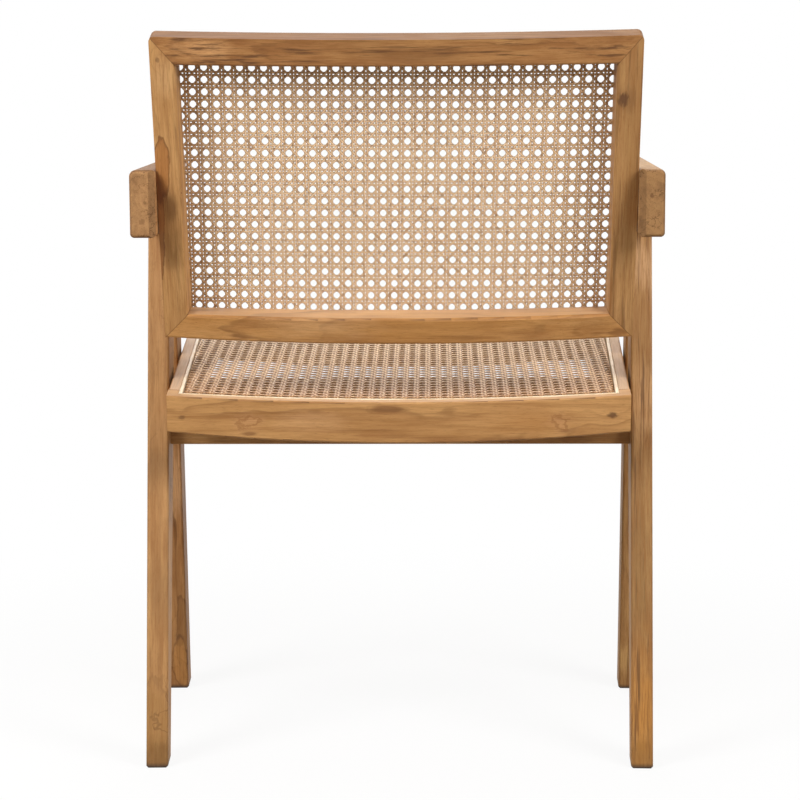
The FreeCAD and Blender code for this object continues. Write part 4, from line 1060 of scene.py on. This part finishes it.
def dress_trim():
    for number, end in enumerate(("top", "bottom", "left", "right")):
        seed = BACK_REED_SEED + REED_SEED_STEP * number
        dress("back_spline_" + end, reed_material("back_reed_" + end, seed, BACK_REED_TONES))
    for number, end in enumerate(("left", "right", "front", "rear")):
        seed = SEAT_REED_SEED + REED_SEED_STEP * number
        dress("seat_spline_" + end, reed_material("seat_reed_" + end, seed, SEAT_REED_TONES))
    dress("seat_screws", steel_material("screw_steel"))


def weave_back():
    low = (-BACK_CANE_HALF - TURN_IN, BACK_CANE_LOW - TURN_IN)
    high = (BACK_CANE_HALF + TURN_IN, BACK_CANE_HIGH + TURN_IN)
    material = cane_material("back_cane", BACK_CANE_SEED, BACK_CANE_TONES, BACK_CANE_FRAME_SHADE)
    weave_panel("back_cane", "back_cane_panel", BACK_STRAND, BACK_LATTICE, back_sheet, low, high,
                on_back_sheet, material)


def weave_seat():
    low = (-SEAT_FRONT_HALF, SEAT_CANE_EDGE - TURN_IN)
    high = (SEAT_FRONT_HALF, SEAT_LENGTH - SEAT_CANE_EDGE + TURN_IN)
    material = cane_material("seat_cane", SEAT_CANE_SEED, SEAT_CANE_TONES, SEAT_CANE_LIGHT_AND_SHADE)
    weave_panel("seat_cane", "seat_cane_panel", SEAT_STRAND, SEAT_LATTICE, seat_sheet, low, high,
                on_seat_sheet, material)


# Studio

FLOOR_HALF = 6.0
FLOOR_BOUNCE = (0.45, 0.40, 0.32, 1)
FLOOR_SEEN = (0.85, 0.85, 0.85, 1)
SHADOW_FADE = (0.3, 1.1, 0.9, 1.0)
AMBIENT = (0.15, 0.122, 0.078, 1)

# Square softboxes: azimuth and elevation in degrees, distance and size in metres, power in watts.
# Azimuth 0 is behind the chair, and it grows towards the sitter's left.
LAMPS = {
    "left_softbox": (52, 29, 1.6, 0.7, 22),
    "right_softbox": (-52, 29, 1.6, 0.7, 20),
    "rear_fill": (0, 8, 3.2, 1.2, 3),
    "front_softbox": (175, 24, 2.4, 1.4, 14),
    "front_fill": (180, 1, 3.0, 1.8, 16),
    "overhead_softbox": (170, 78, 1.9, 1.2, 14),
}
LAMP_TARGET = Vector((0, 0.1, 0.55))

# The photograph's viewpoint: behind the chair, a little above the armrests
CAMERA_SPOT = Vector((-38.2 * MM, REAR_FOOT_Y + 2368.5 * MM, 736.6 * MM))
CAMERA_FORWARD = Vector((0.01511, -0.99043, -0.13719))
CAMERA_ROLL = math.radians(-0.178)
LENS_LENGTH = 100.28
SENSOR_WIDTH = 36
FARTHEST_SEEN = 50


def seen_directly(tree):
    """1 where the camera, a reflection or a see-through surface looks, 0 for the light that is sent."""
    path = tree.nodes.new("ShaderNodeLightPath")
    seen = calc(tree, "MAXIMUM", path.outputs["Is Camera Ray"], path.outputs["Is Glossy Ray"])
    return calc(tree, "MAXIMUM", seen, path.outputs["Is Transmission Ray"])


def white_floor_material():
    """Looks pure white, less a share of the shadow near the chair."""
    material = bpy.data.materials.new("white_floor")
    material.use_nodes = True
    tree = material.node_tree
    tree.nodes.clear()
    output = tree.nodes.new("ShaderNodeOutputMaterial")
    diffuse = tree.nodes.new("ShaderNodeBsdfDiffuse")
    seen = seen_directly(tree)
    feed(tree, diffuse.inputs["Color"], blend(tree, seen, FLOOR_BOUNCE, FLOOR_SEEN))
    glow = tree.nodes.new("ShaderNodeEmission")
    glow.inputs["Color"].default_value = WHITE
    away = vector_calc(tree, "LENGTH", object_place(tree))
    white_share = calc(tree, "MULTIPLY", seen, span(tree, away, *SHADOW_FADE))
    mixer = tree.nodes.new("ShaderNodeMixShader")
    tree.links.new(white_share, mixer.inputs[0])
    tree.links.new(diffuse.outputs[0], mixer.inputs[1])
    tree.links.new(glow.outputs[0], mixer.inputs[2])
    tree.links.new(mixer.outputs[0], output.inputs[0])
    return material


def add_floor():
    half = FLOOR_HALF
    floor = add_mesh("floor", [(-half, -half, 0), (half, -half, 0), (half, half, 0), (-half, half, 0)],
                     [(0, 1, 2, 3)], smooth=False)
    floor.data.materials.append(white_floor_material())


def add_world():
    """White where it is looked at; the light that it sends is dim and a little warm."""
    world = bpy.data.worlds.new("white_room")
    bpy.context.scene.world = world
    world.use_nodes = True
    tree = world.node_tree
    background = tree.nodes["Background"]
    background.inputs["Strength"].default_value = 1.0
    feed(tree, background.inputs["Color"], blend(tree, seen_directly(tree), AMBIENT, WHITE))


def add_lamp(name, azimuth, elevation, distance, size, power):
    """A softbox that faces the chair and does not show in the picture itself."""
    around, above = math.radians(azimuth), math.radians(elevation)
    away = Vector((math.sin(around) * math.cos(above), math.cos(around) * math.cos(above), math.sin(above)))
    light = bpy.data.lights.new(name, "AREA")
    light.shape = "SQUARE"
    light.size = size
    light.energy = power
    lamp = bpy.data.objects.new(name, light)
    lamp.location = LAMP_TARGET + away * distance
    lamp.rotation_euler = (-away).to_track_quat("-Z", "Y").to_euler()
    lamp.visible_camera = False
    bpy.context.scene.collection.objects.link(lamp)


def add_camera():
    data = bpy.data.cameras.new("camera")
    data.lens = LENS_LENGTH
    data.sensor_width = SENSOR_WIDTH
    data.clip_end = FARTHEST_SEEN
    camera = bpy.data.objects.new("camera", data)
    right = CAMERA_FORWARD.cross(Vector((0, 0, 1))).normalized()
    up = right.cross(CAMERA_FORWARD)
    turn = Matrix((right, up, -CAMERA_FORWARD)).transposed()
    roll = Matrix.Rotation(CAMERA_ROLL, 3, "Z")
    camera.matrix_world = Matrix.Translation(CAMERA_SPOT) @ (turn @ roll).to_4x4()
    bpy.context.scene.collection.objects.link(camera)
    bpy.context.scene.camera = camera


def add_studio():
    add_floor()
    add_world()
    for name, setting in LAMPS.items():
        add_lamp(name, *setting)
    add_camera()
    bpy.context.scene.view_settings.view_transform = "Standard"


dress_armrests()
dress_side_frames()
dress_back_frame()
dress_seat_frame()
dress_hidden_wood()
dress_trim()
weave_back()
weave_seat()
add_studio()
